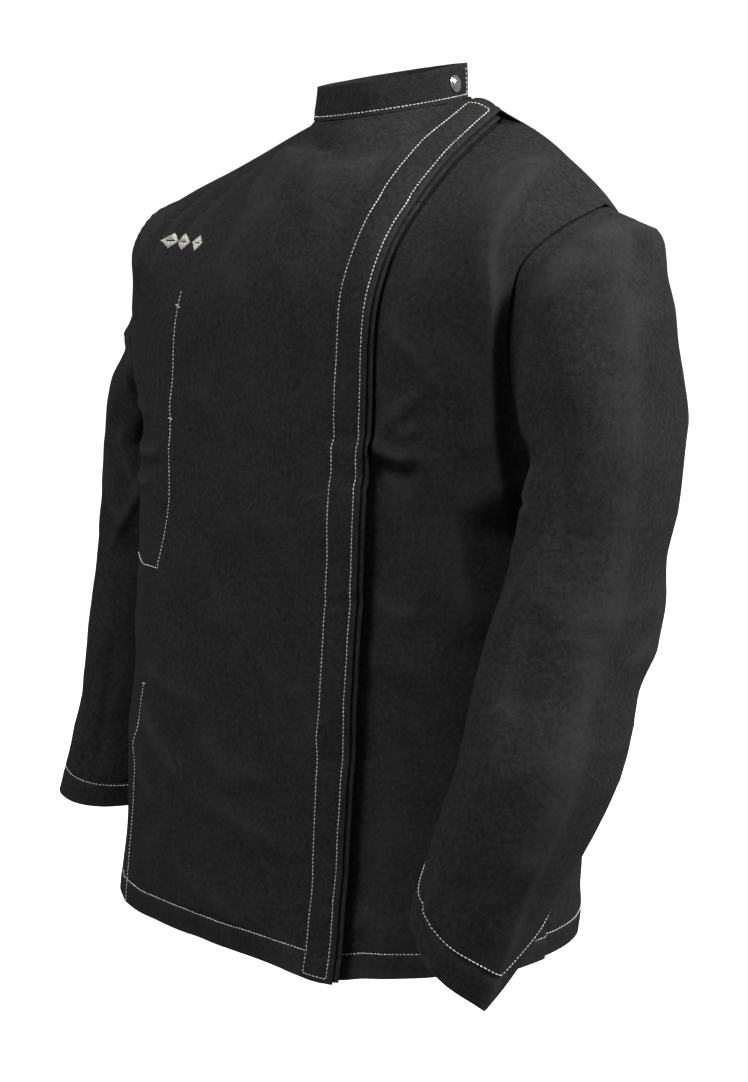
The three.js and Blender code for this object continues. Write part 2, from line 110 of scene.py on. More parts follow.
FOLD_TOP = 180.0
LEFT_EDGE_X = 34.0
SNAP_X = 103.0
SNAP_DEPTHS = (150, 268, 390, 512, 634)
HALF_TURN = 293.0                 # cloth from the middle of the front to a side seam
HEM_TURN = 22.0
POCKET_SLACK = 20.0
SEAM_FADE = 24.0                  # folds grow from nothing over this much cloth below a seam
SIDE_SEAM_FADE = 0.012            # and over this share of a half turn beside one

# ---- Sleeves: depth, x, y, half width, half depth ----
LEFT_SLEEVE = {
    "rings": np.array([[300, 286, -62, 47, 80], [400, 283, -102, 50, 80], [500, 288, -141, 56, 79],
                       [600, 264, -177, 50, 66], [690, 239, -206, 40, 56]], float),
    "fullness": 1.05, "length": 622, "tilt": -0.2, "slant": 0.72, "point": 20}
RIGHT_SLEEVE = {
    "rings": np.array([[300, 277, -18, 44, 76], [400, 282, -25, 45, 78], [500, 286, -46, 42, 72],
                       [600, 294, -65, 43, 67], [690, 300, -98, 43, 62]], float),
    "fullness": 0.4, "length": 655, "tilt": 0.02, "slant": -0.2, "point": 0}
CUFF_POINT = 14.0                 # degrees; a cuff with a point hangs lowest here
CUFF_POINT_WIDTH = 32.0
CAP_END = 12.0                    # the cap meets the straight sleeve this far below the armpit
ARMHOLE_TUCK = 3.0                # the sleeve starts this far inside the body's armhole edge

CLOTH_THICKNESS = 1.0
THIN_CLOTH = 0.8
CELL = 4.5                        # size of a cloth mesh's cells
FINE_CELL = 1.3                   # and beside a stitched line
FINE_REACH = 5.0                  # and within this distance of it

# ---- Layers, along the outward normal from the outer face ----
LAP_DEPTH = -9.0
FACING_DEPTH = -2.7
STRIP_LIFT = 0.9
STITCH_INSET = 5.5                # the placket's outer stitches, from its free edge
INNER_INSET = 3.0                 # its inner ones, from its other edge
STITCH_LIFT = 0.15
COLLAR_LINING_DEPTH = -1.5
NARROWEST_SHEET = 0.01            # metres; anything narrower is a tape, not a sheet

# ---- Emblem: three lozenges in a row ----
EMBLEM_X = (-158.0, -137.0, -116.0)
EMBLEM_Z = -112.0
EMBLEM_HALF = 7.5
EMBLEM_SLANT = 0.6
EMBLEM_LIFT = 0.6


# ---- Small maths ----
def mix(a, b, t):
    return a + (b - a) * t


def ramp(x, a, b):
    t = np.clip((x - a) / (b - a), 0, 1)
    return t * t * (3 - 2 * t)


def bump(x, centre, width):
    return np.exp(-((x - centre) / width) ** 2)


def on_chain(points, at):
    """Value on a chain of (at, value) points, eased between neighbours."""
    xs, ys = np.array(points, float).T
    slopes = np.gradient(ys, xs)
    slopes[1:-1] = (ys[2:] - ys[:-2]) / (xs[2:] - xs[:-2])
    at = np.clip(at, xs[0], xs[-1])
    k = np.clip(np.searchsorted(xs, at, side="right") - 1, 0, len(xs) - 2)
    span = xs[k + 1] - xs[k]
    t = (at - xs[k]) / span
    keep = (1 + 2 * t) * (1 - t) ** 2
    start = t * (1 - t) ** 2 * span * slopes[k]
    end = t * t * (t - 1) * span * slopes[k + 1]
    return ys[k] * keep + start + ys[k + 1] * (1 - keep) + end


# ---- Body surface ----
def middle_y(depth):
    return LEAN_START - LEAN * depth


def half_width(depth):
    above = np.maximum(0, 1 - depth / ARMPIT_DEPTH)
    return WAIST_HALF + HEM_FLARE * (depth / BODY_LENGTH) ** 2 + CHEST_FLARE * above ** 1.3


def edge_x(depth):
    return np.where(depth < ARMPIT_DEPTH, on_chain(ARMHOLE_EDGE, depth), half_width(depth))


def neck_z(x, back):
    forward = np.sqrt(np.maximum(0, 1 - (x / NECK[0]) ** 2)) * (1 if back else -1)
    return mix(NECK_FRONT_Z, NECK_BACK_Z, (1 + forward) / 2) + NECK_LEFT_RISE * x / NECK[0]


def shoulder_share(x):
    return np.clip((np.abs(x) - NECK[0]) / (SHOULDER_X - NECK[0]), 0, 1)


def top_z(x, back):
    along = shoulder_share(x)
    inner = neck_z(np.clip(x, -NECK[0], NECK[0]), back)
    power = np.where(x > 0, SHOULDER_CURVE[1], SHOULDER_CURVE[0])
    rise = PLACKET_RISE[2] * bump(x, PLACKET_RISE[0], PLACKET_RISE[1])
    return inner - (inner + SHOULDER_DROP) * along ** power + rise


def top_y(x, back):
    along = shoulder_share(x)
    ring = NECK[1] * np.sqrt(np.maximum(0, 1 - (x / NECK[0]) ** 2)) * (1 if back else -1)
    seam = np.where(x > 0, SHOULDER_Y[1], SHOULDER_Y[0]) * along + SHOULDER_ARCH * np.sin(np.pi * along)
    return np.where(np.abs(x) <= NECK[0], ring, seam)


def body_y(x, z, back):
    depth = -z
    side = np.minimum(1, np.abs(x) / half_width(depth))
    near, far = BACK_DEPTH if back else FRONT_DEPTH
    out = mix(near, far, depth / BODY_LENGTH) * (1 - side ** SECTION_POWER) ** (1 / SECTION_POWER)
    base = middle_y(depth) + (out if back else -out)
    rounding = mix(ROUNDING[0], ROUNDING[1], ramp(np.abs(x), PLACKET_EDGE_X, SHOULDER_X))
    fall = np.clip((top_z(x, back) - z) / rounding, 0, 1)
    return mix(top_y(x, back), base, 1 - (1 - fall) ** ROUNDING_POWER)


def body_point(column, row, back=False):
    """Body cloth: column from -1, the right side seam, to 1; row from 0, the top edge, to 1, the hem."""
    share = np.sin(column * np.pi / 2)
    top = top_z(SHOULDER_X * share, back)
    hem = -on_chain(BACK_HEM if back else FRONT_HEM, HEM_HALF * share)
    z = mix(top, hem, row)
    x = edge_x(-z) * share
    return np.stack([x, body_y(x, z, back), z], -1)


def column_at(x, row):
    return 2 / np.pi * np.arcsin(np.clip(x / edge_x(BODY_LENGTH * row), -1, 1))


def fold_column(fold, row):
    above = np.maximum(0, 1 - BODY_LENGTH * row / FOLD_TOP)
    return column_at(mix(fold[0], fold[1], above ** 1.5), row)


# ---- Sleeve surface ----
def sleeve_at(sleeve, column, depth):
    return on_chain(sleeve["rings"][:, [0, column]], depth)


def armhole_point(side, angle):
    down = (1 - np.cos(np.radians(angle))) / 2
    z = mix(-SHOULDER_DROP, -ARMPIT_DEPTH, down)
    x = edge_x(-z) - ARMHOLE_TUCK
    back = np.mod(angle, 360) > 180
    y = np.where(back, body_y(side * x, z, True), body_y(side * x, z, False))
    return np.stack([side * x, y, z], -1)


def ring_point(sleeve, side, angle, depth):
    turn = np.radians(angle)
    x = sleeve_at(sleeve, 1, depth) + sleeve_at(sleeve, 3, depth) * np.cos(turn)
    y = sleeve_at(sleeve, 2, depth) - sleeve_at(sleeve, 4, depth) * np.sin(turn)
    return np.stack([side * x, y, -depth], -1)


def cap_point(sleeve, side, angle, t):
    start = armhole_point(side, angle)
    end = ring_point(sleeve, side, angle, np.full_like(angle, sleeve["rings"][0, 0] + CAP_END))
    reach = np.linalg.norm(end - start, axis=-1, keepdims=True) * sleeve["fullness"]
    out = np.array([side * 0.82, 0, -0.57]) * reach
    down = np.array([0, -0.2, -0.98]) * reach
    t = t[..., None]
    keep = (1 + 2 * t) * (1 - t) ** 2
    return start * keep + end * (1 - keep) + out * t * (1 - t) ** 2 + down * t * t * (t - 1)


def sleeve_point(sleeve, side, angle, along):
    """Sleeve cloth: angle in degrees from the outer side over the front; along from -1, the armhole,
    through 0, the end of the cap, to 1, the cuff."""
    cap = cap_point(sleeve, side, angle, np.clip(along + 1, 0, 1))
    top = sleeve["rings"][0, 0] + CAP_END
    length, turn = sleeve["length"], np.radians(angle)
    outward = sleeve_at(sleeve, 3, length) * np.cos(turn)
    forward = sleeve_at(sleeve, 4, length) * np.sin(turn)
    end = length + sleeve["slant"] * outward - sleeve["tilt"] * forward
    end = end + sleeve["point"] * (np.exp(-np.abs(angle - CUFF_POINT) / CUFF_POINT_WIDTH) - 0.5)
    tube = ring_point(sleeve, side, angle, mix(top, end, np.clip(along, 0, 1)))
    return np.where((along < 0)[..., None], cap, tube)


# ---- Folds and dents, as heights over a surface ----
FOLD_DEPTH = 1.25                 # deepens every fold of the body
FOLD_CREST = 1.3                  # 2 is a soft round fold, 1 a pressed one


def along_path(p, q, path):
    """Signed distance to a path, positive on its left, and the share of its length, 0 to 1."""
    nearest = np.full(np.broadcast(p, q).shape, 1e9)
    signed, share = nearest.copy(), nearest.copy()
    for k, (a, b) in enumerate(zip(path[:-1], path[1:])):
        dp, dq = b[0] - a[0], b[1] - a[1]
        t = np.clip(((p - a[0]) * dp + (q - a[1]) * dq) / (dp * dp + dq * dq), 0, 1)
        distance = np.hypot(p - a[0] - t * dp, q - a[1] - t * dq)
        side = np.where(dp * (q - a[1]) - dq * (p - a[0]) >= 0, 1, -1)
        closer = distance < nearest
        nearest = np.where(closer, distance, nearest)
        signed = np.where(closer, distance * side, signed)
        share = np.where(closer, (k + t) / (len(path) - 1), share)
    return signed, share


def fold(p, q, path, height, left, right, ends=(0.3, 0.3), pressed=False):
    """A ridge, or with a negative height a groove, that falls away over left and right."""
    signed, share = along_path(p, q, path)
    reach = np.abs(signed) / np.where(signed > 0, left, right)
    shape = np.exp(-reach) if pressed else np.exp(-reach ** FOLD_CREST)
    start = ramp(share, 0, ends[0]) if ends[0] else 1
    end = ramp(1 - share, 0, ends[1]) if ends[1] else 1
    return height * shape * start * end


def soft_noise(p, q, size, seed):
    """A smooth random field from -1 to 1, with dents about size across."""
    count = 64
    lattice = np.random.default_rng(seed).uniform(-1, 1, (count, count))
    u, v = np.asarray(p) / size, np.asarray(q) / size
    i, j = np.floor(u).astype(int), np.floor(v).astype(int)
    a, b = ramp(u - i, 0, 1), ramp(v - j, 0, 1)
    corner = lambda di, dj: lattice[(i + di) % count, (j + dj) % count]
    return mix(mix(corner(0, 0), corner(1, 0), a), mix(corner(0, 1), corner(1, 1), a), b)


def crumple(p, q, size, seed):
    """Stiff cloth's flat facets that meet in short crisp lines, from -1 to 1."""
    turned, leaning = p * 0.83 + q * 0.56, q * 0.83 - p * 0.56
    return 1 - 2 * np.abs(soft_noise(turned, 0.7 * leaning, size, seed))


# Each fold: its path as (x, z), its height, and its reach on the left and right of the path.
RIGHT_CHEST_FOLDS = [
    ([(-52, -8), (-58, -32), (-44, -74), (-36, -115), (-48, -148), (-74, -200)], 8, 60, 18),
    ([(-98, -30), (-116, -68), (-134, -102), (-150, -140)], 4.5, 9, 7),
    ([(-136, -42), (-158, -74), (-166, -112), (-170, -160)], 5, 9, 7),
    ([(-178, -70), (-190, -110), (-192, -160)], 4, 8, 8),
    ([(-40, -16), (0, -27), (32, -36), (60, -31), (80, -14)], -4.5, 9, 8),
    ([(-6, -56), (36, -52), (64, -36), (84, -12)], 4, 10, 16),
    ([(-206, -292), (-176, -303), (-152, -300), (-126, -290)], 4.5, 7, 5),
    ([(-206, -322), (-180, -330), (-150, -324)], 3.5, 7, 6),
    ([(-200, -256), (-176, -262), (-150, -270)], 2.5, 6, 6),
]
LOWER_FLAP_FOLDS = [
    ([(-150, -486), (-118, -496), (-84, -500), (-29, -496)], 3.2, 9, 12),
    ([(-160, -508), (-132, -538), (-100, -564), (-58, -580)], 5, 9, 14),
    ([(-172, -540), (-140, -590), (-104, -616)], 3.5, 10, 14),
    ([(-60, -528), (-7, -553), (46, -550)], 3.4, 10, 16),
    ([(8, -444), (69, -476), (104, -530)], 2.6, 14, 20),
    ([(-64, -574), (0, -592), (36, -600), (84, -618)], 4.2, 12, 18),
    ([(-20, -300), (10, -330), (70, -345)], 1.6, 14, 20),
    ([(-100, -640), (-40, -668), (50, -690)], 2.5, 12, 14),
]
PLACKET_DENTS = [
    ([(82, -256), (104, -257), (124, -254)], -2.2, 6, 5, (0.2, 0)),
    ([(82, -266), (104, -268), (124, -266)], 1.6, 6, 5, (0.2, 0)),
    ([(82, -288), (104, -289), (124, -287)], -2.2, 6, 7, (0.2, 0)),
    ([(84, -392), (102, -392), (122, -388)], -1.5, 7, 7, (0.2, 0)),
    ([(84, -520), (102, -524), (122, -520)], -1.0, 9, 9, (0.2, 0)),
]
SNAP_PULL_FOLDS = [
    ([(118, -264), (134, -244), (148, -229), (162, -219), (176, -206)], 5, 6, 8, (0.05, 0.5)),
    ([(118, -267), (134, -268), (148, -272), (160, -268), (180, -277)], 5.5, 8, 4.5, (0.05, 0.4)),
    ([(119, -272), (134, -281), (152, -284), (170, -281)], -3.5, 5, 6, (0.1, 0.4)),
    ([(128, -150), (142, -176), (160, -192), (176, -210), (188, -238)], 3.6, 16, 9, (0.3, 0.4)),
    ([(142, -247), (152, -252), (166, -241)], 2.8, 4, 5, (0.3, 0.3)),
    ([(121, -275), (146, -298), (176, -310)], 2.4, 8, 10, (0.1, 0.5)),
    ([(121, -385), (150, -396), (182, -392)], 2.0, 9, 12, (0.1, 0.5)),
    ([(126, -672), (134, -656), (140, -640)], 4, 5, 5, (0.3, 0.3)),
]
ARMHOLE_FOLDS = [
    ([(176, -18), (192, -38), (200, -58), (207, -86), (209, -120), (208, -190), (208, -250), (212, -296),
      (218, -330)], 13, 6.5, 30, (0.15, 0.15)),
    ([(-204, -70), (-208, -120), (-207, -200), (-212, -280)], 8, 30, 8, (0.2, 0.2)),
    ([(186, -300), (196, -360), (206, -430)], 5, 12, 22),
    ([(224, -560), (230, -620), (228, -700)], 6, 9, 12, (0.3, 0)),
    ([(206, -580), (212, -640), (206, -712)], -4, 8, 10, (0.3, 0)),
]
FRONT_FOLDS = RIGHT_CHEST_FOLDS + LOWER_FLAP_FOLDS + PLACKET_DENTS + SNAP_PULL_FOLDS + ARMHOLE_FOLDS
BACK_FOLDS = [
    ([(-120, -120), (-140, -220), (-130, -340)], 6, 22, 16),
    ([(120, -110), (142, -220), (136, -330)], 6, 16, 22),
    ([(-30, -330), (-60, -470), (-54, -640)], 5, 26, 20),
    ([(60, -380), (84, -520), (80, -700)], 5, 20, 26, (0.3, 0)),
    ([(-190, -420), (-176, -560), (-180, -715)], 5, 18, 20, (0.3, 0)),
    ([(-150, -300), (-40, -326), (60, -318), (160, -296)], 3, 14, 18),
    ([(-90, -40), (0, -58), (90, -40)], 3, 12, 12),
]


def body_relief(x, z, back):
    folds = BACK_FOLDS if back else FRONT_FOLDS
    height = FOLD_DEPTH * sum(fold(x, z, *entry) for entry in folds)
    seed = 5 if back else 1
    height = height + 1.1 * soft_noise(x, z, 52, seed) + 0.4 * soft_noise(x, z, 21, seed + 1)
    height = height + 1.9 * crumple(x, z, 74, seed + 2) + 0.9 * crumple(x, z, 31, seed + 3)
    if not back:
        height = height + 7 * bump(x, 116, 60) * ramp(-z, 600, 722)
    return height


def left_front_depth(x, z):
    """How far the left front lies under the lap: it dips beside the placket and comes up beyond it."""
    low = ramp(-z, 225, 330)
    side = 1 - ramp(x, mix(112, 124, low), mix(150, 205, low))
    return LAP_DEPTH * side - 8 * low * bump(x, 130, 16)


# Sleeve folds run over (angle, z): the angle is in degrees, 0 outside, 90 in front.
MM_PER_DEGREE = 1.2
NOISE_RADIUS = 70
LEFT_SLEEVE_FOLDS = [
    ([(14, -81), (18, -99), (26, -143), (30, -214), (29, -273), (25, -333), (25, -400), (30, -480),
      (31, -557), (23, -612), (12, -690)], 15, 30, 30, (0.04, 0), True),
    ([(-24, -150), (-18, -300), (-16, -400)], -5, 34, 34, (0.1, 0.5)),
    ([(-44, -340), (-46, -400), (-42, -450)], 9, 40, 40, (0.4, 0.4)),
    ([(196, -300), (194, -420), (190, -560), (188, -700)], 6, 16, 16, (0.2, 0), True),
    ([(68, -190), (66, -330), (68, -450), (60, -700)], -8, 40, 40, (0.2, 0)),
    ([(-60, -55), (-46, -95), (-36, -140)], 13, 40, 40, (0.1, 0.5)),
    ([(20, -84), (38, -112), (56, -148), (80, -195), (104, -240), (112, -262)], 7, 34, 13, (0.15, 0.2)),
    ([(46, -108), (66, -150), (88, -190), (100, -214)], -6, 10, 12),
    ([(86, -352), (50, -372), (10, -384)], 4, 12, 24, (0.3, 0.1)),
    ([(96, -420), (60, -432), (24, -424)], -3, 16, 16),
    ([(127, -536), (113, -580), (96, -640), (90, -700)], -4, 4, 3, (0.1, 0)),
    ([(100, -262), (112, -280), (124, -300)], 5, 6, 5),
    ([(104, -292), (118, -304), (128, -326)], 5, 6, 5),
    ([(140, -290), (150, -320), (150, -360)], 5, 8, 8),
    ([(12, -470), (-14, -476), (-42, -462)], 2.6, 5, 4),
    ([(8, -498), (-14, -504), (-36, -500)], 2, 5, 4),
    ([(4, -420), (-14, -410), (-40, -402)], 2.6, 6, 5),
    ([(12, -76), (-8, -84), (-24, -98), (-32, -132)], 6, 8, 9),
    ([(2, -100), (-6, -130), (-12, -170)], -4, 10, 10),
    ([(24, -90), (29, -114), (32, -144)], 3, 5, 6),
    ([(72, -395), (44, -388), (14, -402)], 2.2, 5, 5),
    ([(84, -494), (50, -478), (16, -488)], 2.4, 9, 15),
    ([(76, -560), (44, -548), (20, -556)], 1.8, 9, 12),
    ([(-60, -340), (-90, -372), (-140, -380)], 4, 10, 14),
    ([(-66, -410), (-100, -424), (-150, -416)], 5, 10, 14),
    ([(-70, -470), (-110, -480), (-150, -466)], 4, 9, 12),
]
RIGHT_SLEEVE_FOLDS = [
    ([(52, -96), (56, -160), (60, -220), (60, -250)], -9, 46, 46, (0.2, 0.4)),
    ([(15, -80), (20, -160), (18, -300), (16, -700)], 6, 16, 16, (0.05, 0), True),
    ([(194, -310), (192, -440), (188, -700)], 5, 16, 16, (0.2, 0), True),
    ([(64, -360), (66, -480), (64, -700)], -3, 40, 40, (0.3, 0)),
    ([(34, -196), (70, -206), (92, -228), (108, -262)], 6, 8, 6),
    ([(84, -214), (104, -240), (124, -266), (146, -310)], 7, 7, 6),
    ([(92, -206), (112, -236), (130, -284), (122, -338)], -6, 7, 7),
    ([(92, -290), (104, -312), (122, -346), (142, -388)], 7, 7, 6),
    ([(76, -268), (96, -300), (112, -330)], -4, 7, 7),
    ([(142, -336), (126, -356), (112, -386), (96, -424)], 6, 7, 6),
    ([(70, -330), (96, -360), (120, -400)], 4, 8, 8),
    ([(90, -500), (86, -580), (92, -650)], 3, 10, 14),
    ([(122, -480), (120, -570), (124, -650)], -3, 8, 8),
    ([(-60, -340), (-100, -372), (-150, -380)], 4, 10, 14),
    ([(-66, -420), (-100, -434), (-150, -426)], 5, 10, 14),
]


def sleeve_relief(folds, angle, z):
    turned = np.mod(angle + 130, 360) - 130
    across = turned * MM_PER_DEGREE
    flat = [([(a * MM_PER_DEGREE, q) for a, q in entry[0]], *entry[1:]) for entry in folds]
    height = sum(fold(across, z, *entry) for entry in flat)
    around = NOISE_RADIUS * np.cos(np.radians(angle)), NOISE_RADIUS * np.sin(np.radians(angle))
    height = height + 0.9 * soft_noise(around[0] + z, around[1] + 0.4 * z, 46, 41)
    height = height + 1.4 * crumple(across, z, 62, 43) + 0.6 * crumple(across, z, 27, 44)
    return height + 0.3 * soft_noise(around[0] - z, around[1] + 0.3 * z, 18, 42)


# ---- Meshes from grids of points ----
class Grid:
    """Cloth as rows of points. across and down are the shares, 0 to 1, of its columns and rows."""

    def __init__(self, points, across, down, flip=False):
        self.points, self.across, self.down, self.flip = points, across, down, flip
        # Per point: wear on folded edges and stitch lines, and a painted highlight on fold crests; the
        # cloth is painted paler there.
        self.wear_and_painted_highlight = np.zeros(points.shape[:2])

    def normals(self):
        side = np.gradient(self.points, axis=1)
        fall = np.gradient(self.points, axis=0)
        normal = np.cross(side, fall)
        normal /= np.maximum(np.linalg.norm(normal, axis=-1, keepdims=True), 1e-9)
        return normal if self.flip else -normal

    def push(self, distance):
        self.points = self.points + self.normals() * np.broadcast_to(distance, self.wear_and_painted_highlight.shape)[..., None]
        return self

    def sample(self, across, down, lift=0.0):
        """Points and normals at shares of the grid."""
        rows, columns = self.points.shape[:2]
        i = np.interp(across, self.across, np.arange(columns))
        j = np.interp(down, self.down, np.arange(rows))
        i0, j0 = np.minimum(i.astype(int), columns - 2), np.minimum(j.astype(int), rows - 2)
        a, b = (i - i0)[..., None], (j - j0)[..., None]
        found = []
        for field in (self.points, self.normals()):
            upper = mix(field[j0, i0], field[j0, i0 + 1], a)
            lower = mix(field[j0 + 1, i0], field[j0 + 1, i0 + 1], a)
            found.append(mix(upper, lower, b))
        points, normals = found
        normals = normals / np.linalg.norm(normals, axis=-1, keepdims=True)
        return points + normals * lift, normals


def graded(length, lines=(), cell=CELL):
    """Shares from 0 to 1 of a length, closer together beside the given lines."""
    stops = [0.0]
    while stops[-1] < length:
        near = min((abs(stops[-1] - line) for line in lines), default=1e9)
        stops.append(stops[-1] + (FINE_CELL if near < FINE_REACH else cell))
    return np.array(stops) / stops[-1]


def link(name, mesh, material, smooth=True):
    piece = bpy.data.objects.new(name, mesh)
    bpy.context.scene.collection.objects.link(piece)
    piece.data.materials.append(material)
    piece.data.polygons.foreach_set("use_smooth", [smooth] * len(piece.data.polygons))
    return piece


def tube_faces(rings, sides):
    """Faces between rings of points that each have the same number of sides."""
    return [(k * sides + i, k * sides + (i + 1) % sides, (k + 1) * sides + (i + 1) % sides,
             (k + 1) * sides + i) for k in range(rings - 1) for i in range(sides)]


def pattern_lengths(points):
    """Arc lengths across and down a grid of points, in metres, from its middle column."""
    steps = np.linalg.norm(np.diff(points, axis=1), axis=-1)
    drops = np.linalg.norm(np.diff(points, axis=0), axis=-1)
    u = np.concatenate([np.zeros((len(points), 1)), np.cumsum(steps, 1)], 1)
    v = np.concatenate([np.zeros((1, points.shape[1])), np.cumsum(drops, 0)], 0)
    return (u - u[:, [points.shape[1] // 2]]) * MM, v * MM


def cloth(name, grid, material, thickness=CLOTH_THICKNESS):
    """One piece of cloth, closed, with its outer face on the grid's points."""
    rows, columns = grid.points.shape[:2]
    inner = grid.points - grid.normals() * thickness
    index = np.arange(rows * columns).reshape(rows, columns)
    corners = [index[:-1, :-1], index[1:, :-1], index[1:, 1:], index[:-1, 1:]]
    outer_faces = np.stack([c.ravel() for c in corners], 1)
    inner_faces = outer_faces[:, ::-1] + rows * columns
    border = np.concatenate([index[:, 0], index[-1, 1:], index[-2::-1, -1], index[0, -2::-1]])
    ahead, behind = border[1:], border[:-1]
    rim = np.stack([behind, behind + rows * columns, ahead + rows * columns, ahead], 1)
    faces = np.concatenate([outer_faces, inner_faces, rim])
    if grid.flip:
        faces = faces[:, ::-1]
    vertices = np.concatenate([grid.points.reshape(-1, 3), inner.reshape(-1, 3)]) * MM
    mesh = bpy.data.meshes.new(name)
    mesh.from_pydata(vertices.tolist(), [], faces.tolist())
    mesh.update()
    mark_pattern(mesh, grid, set(border.tolist()), rows * columns)
    piece = link(name, mesh, material)
    declare_sheet(grid)
    return piece


def mark_pattern(mesh, grid, border, count):
    """Weave coordinates, wear with a painted highlight on fold crests, and sharp edges all round the rim.
    """
    u, v = pattern_lengths(grid.points)
    flat = np.stack([u, -v], -1).reshape(-1, 2)
    corner = np.zeros(len(mesh.loops), int)
    mesh.loops.foreach_get("vertex_index", corner)
    layer = mesh.uv_layers.new(name="Weave")
    layer.data.foreach_set("uv", np.tile(flat, (2, 1))[corner].astype(np.float32).ravel())
    wear_and_painted_highlight = mesh.attributes.new("WearAndPaintedHighlight", "FLOAT", "POINT")
    wear_and_painted_highlight.data.foreach_set("value", np.tile(grid.wear_and_painted_highlight.ravel(), 2).astype(np.float32))
    ends = np.zeros(2 * len(mesh.edges), int)
    mesh.edges.foreach_get("vertices", ends)
    ends = ends.reshape(-1, 2) % count
    on_rim = np.isin(ends, list(border)).all(1)
    sharp = mesh.attributes.new("sharp_edge", "BOOLEAN", "EDGE")
    sharp.data.foreach_set("value", on_rim)


def declare_sheet(grid):
    """The cloth's flat size, from lengths measured over the grid; nothing is done with it."""
    points = grid.points * MM
    across = np.linalg.norm(np.diff(points, axis=1), axis=-1).sum(1).max()
    down = np.linalg.norm(np.diff(points, axis=0), axis=-1).sum(0).max()
    flat = (float(across), float(down))
    if min(flat) < NARROWEST_SHEET:
        return


# Column lines for body_grid.
def always(value):
    return lambda row: np.full_like(row, value)


def at_x(x):
    return lambda row: column_at(x, row)


def at_fold(line):
    return lambda row: fold_column(line, row)


def body_grid(left, right, rows=(0.0, 1.0), back=False, lift=0.0, depth=None):
    """Body cloth between two column lines, each a function of the row, with its folds."""
    down = graded(BODY_LENGTH * (rows[1] - rows[0]), [BODY_LENGTH * (1 - rows[0]) - HEM_TURN])
    row = mix(rows[0], rows[1], down)[:, None]
    start, end = left(row), right(row)
    across = graded(HALF_TURN * float(np.max(end - start)))
    column = mix(start, end, across[None, :])
    row = np.broadcast_to(row, column.shape)
    grid = Grid(body_point(column, row, back), across, down, flip=back)
    x, z = grid.points[..., 0], grid.points[..., 2]
    free = ramp(1 - np.abs(column), 0, SIDE_SEAM_FADE) * ramp(row * BODY_LENGTH, 0, SEAM_FADE)
    relief = body_relief(x, z, back) * free
    hem = (1 - row) * BODY_LENGTH
    # Paler colour on fold crests is a painted highlight; on the hem's folded edge and stitches it is wear.
    grid.wear_and_painted_highlight = painted_crest_highlight(relief) + 0.5 * bump(hem, 0, 4) + 0.25 * bump(hem, HEM_TURN, 3)
    extra = 0 if depth is None else depth(x, z)
    return grid.push(relief + extra + turned_edge(hem)).push(lift)


def turned_edge(hem):
    """The height of a turned-up edge: a groove along its stitches, and a second layer below them."""
    return -0.7 * bump(hem, HEM_TURN, 1.8) + 0.5 * ramp(hem, HEM_TURN, HEM_TURN - 6)


def painted_crest_highlight(relief):
    """Where the cloth stands out from what is round it, from 0 to 1; fold crests are painted paler there,
    a painted highlight.
    """
    smooth = relief
    for axis, shift in ((0, 2), (0, 5), (1, 2), (1, 5)):
        smooth = (smooth + np.roll(smooth, shift, axis) + np.roll(smooth, -shift, axis)) / 3
    return np.clip((relief - smooth) / 2.5, 0, 1)


# ---- Stitches ----
def stitches(name, points, normals, pitch=3.4, radius=0.5, fill=0.74):
    """Separate stitches along a line of points, each a short round thread lying on the cloth."""
    steps = np.linalg.norm(np.diff(points, axis=0), axis=1)
    at = np.concatenate([[0], np.cumsum(steps)])
    count = max(1, int(at[-1] / pitch))
    centres = (np.arange(count) + 0.5) * at[-1] / count
    along = lambda field, s: np.stack([np.interp(s, at, field[:, k]) for k in range(3)], -1)
    half = pitch * fill / 2
    middle, start, end = (along(points, centres + shift) for shift in (0, -half, half))
    axis = end - start
    length = np.linalg.norm(axis, axis=1, keepdims=True)
    axis = axis / np.maximum(length, 1e-6)
    side = np.cross(axis, along(normals, centres))
    side /= np.maximum(np.linalg.norm(side, axis=1, keepdims=True), 1e-6)
    up = np.cross(side, axis)
    turn = np.radians(np.arange(0, 360, 60))
    rings = [(-1.0, 0.35, -0.5), (-0.72, 0.9, 0.1), (0.0, 1.0, 0.35), (0.72, 0.9, 0.1), (1.0, 0.35, -0.5)]
    shell = []
    for place, size, rise in rings:
        for angle in turn:
            offset = axis * length / 2 * place + side * radius * size * np.cos(angle)
            shell.append(middle + offset + up * radius * (size * np.sin(angle) + rise))
    vertices = np.stack(shell, 1) * MM
    sides = len(turn)
    faces = np.array(tube_faces(len(rings), sides))
    faces = faces[None] + (np.arange(count) * sides * len(rings))[:, None, None]
    mesh = bpy.data.meshes.new(name)
    mesh.from_pydata(vertices.reshape(-1, 3).tolist(), [], faces.reshape(-1, 4).tolist())
    mesh.update()
    return link(name, mesh, THREAD)


def stitched(name, grid, across, down, **look):
    """A row of stitches over a grid, given the shares that it follows."""
    points, normals = grid.sample(np.asarray(across, float), np.asarray(down, float), STITCH_LIFT)
    return stitches(name, points, normals, **look)


# ---- Materials ----
LINT = (0.16, 0.16, 0.16)


def new_material(name, inputs):
    """A material, its node tree and its shader."""
    material = bpy.data.materials.new(name)
    material.use_nodes = True
    tree = material.node_tree
    return material, tree, feed(tree, tree.nodes["Principled BSDF"], inputs)


def feed(tree, node, inputs):
    """Gives a node's inputs a value each, or a link from another node's socket."""
    for name, value in inputs.items():
        socket = node.inputs[name]
        if isinstance(value, bpy.types.NodeSocket):
            tree.links.new(value, socket)
        else:
            socket.default_value = (*value, 1) if isinstance(value, tuple) else value
    return node


def add(tree, kind, inputs, **settings):
    """A new shader node's outputs, once its settings and its inputs are made."""
    node = tree.nodes.new("ShaderNode" + kind)
    for name, value in settings.items():
        setattr(node, name, value)
    return feed(tree, node, inputs).outputs


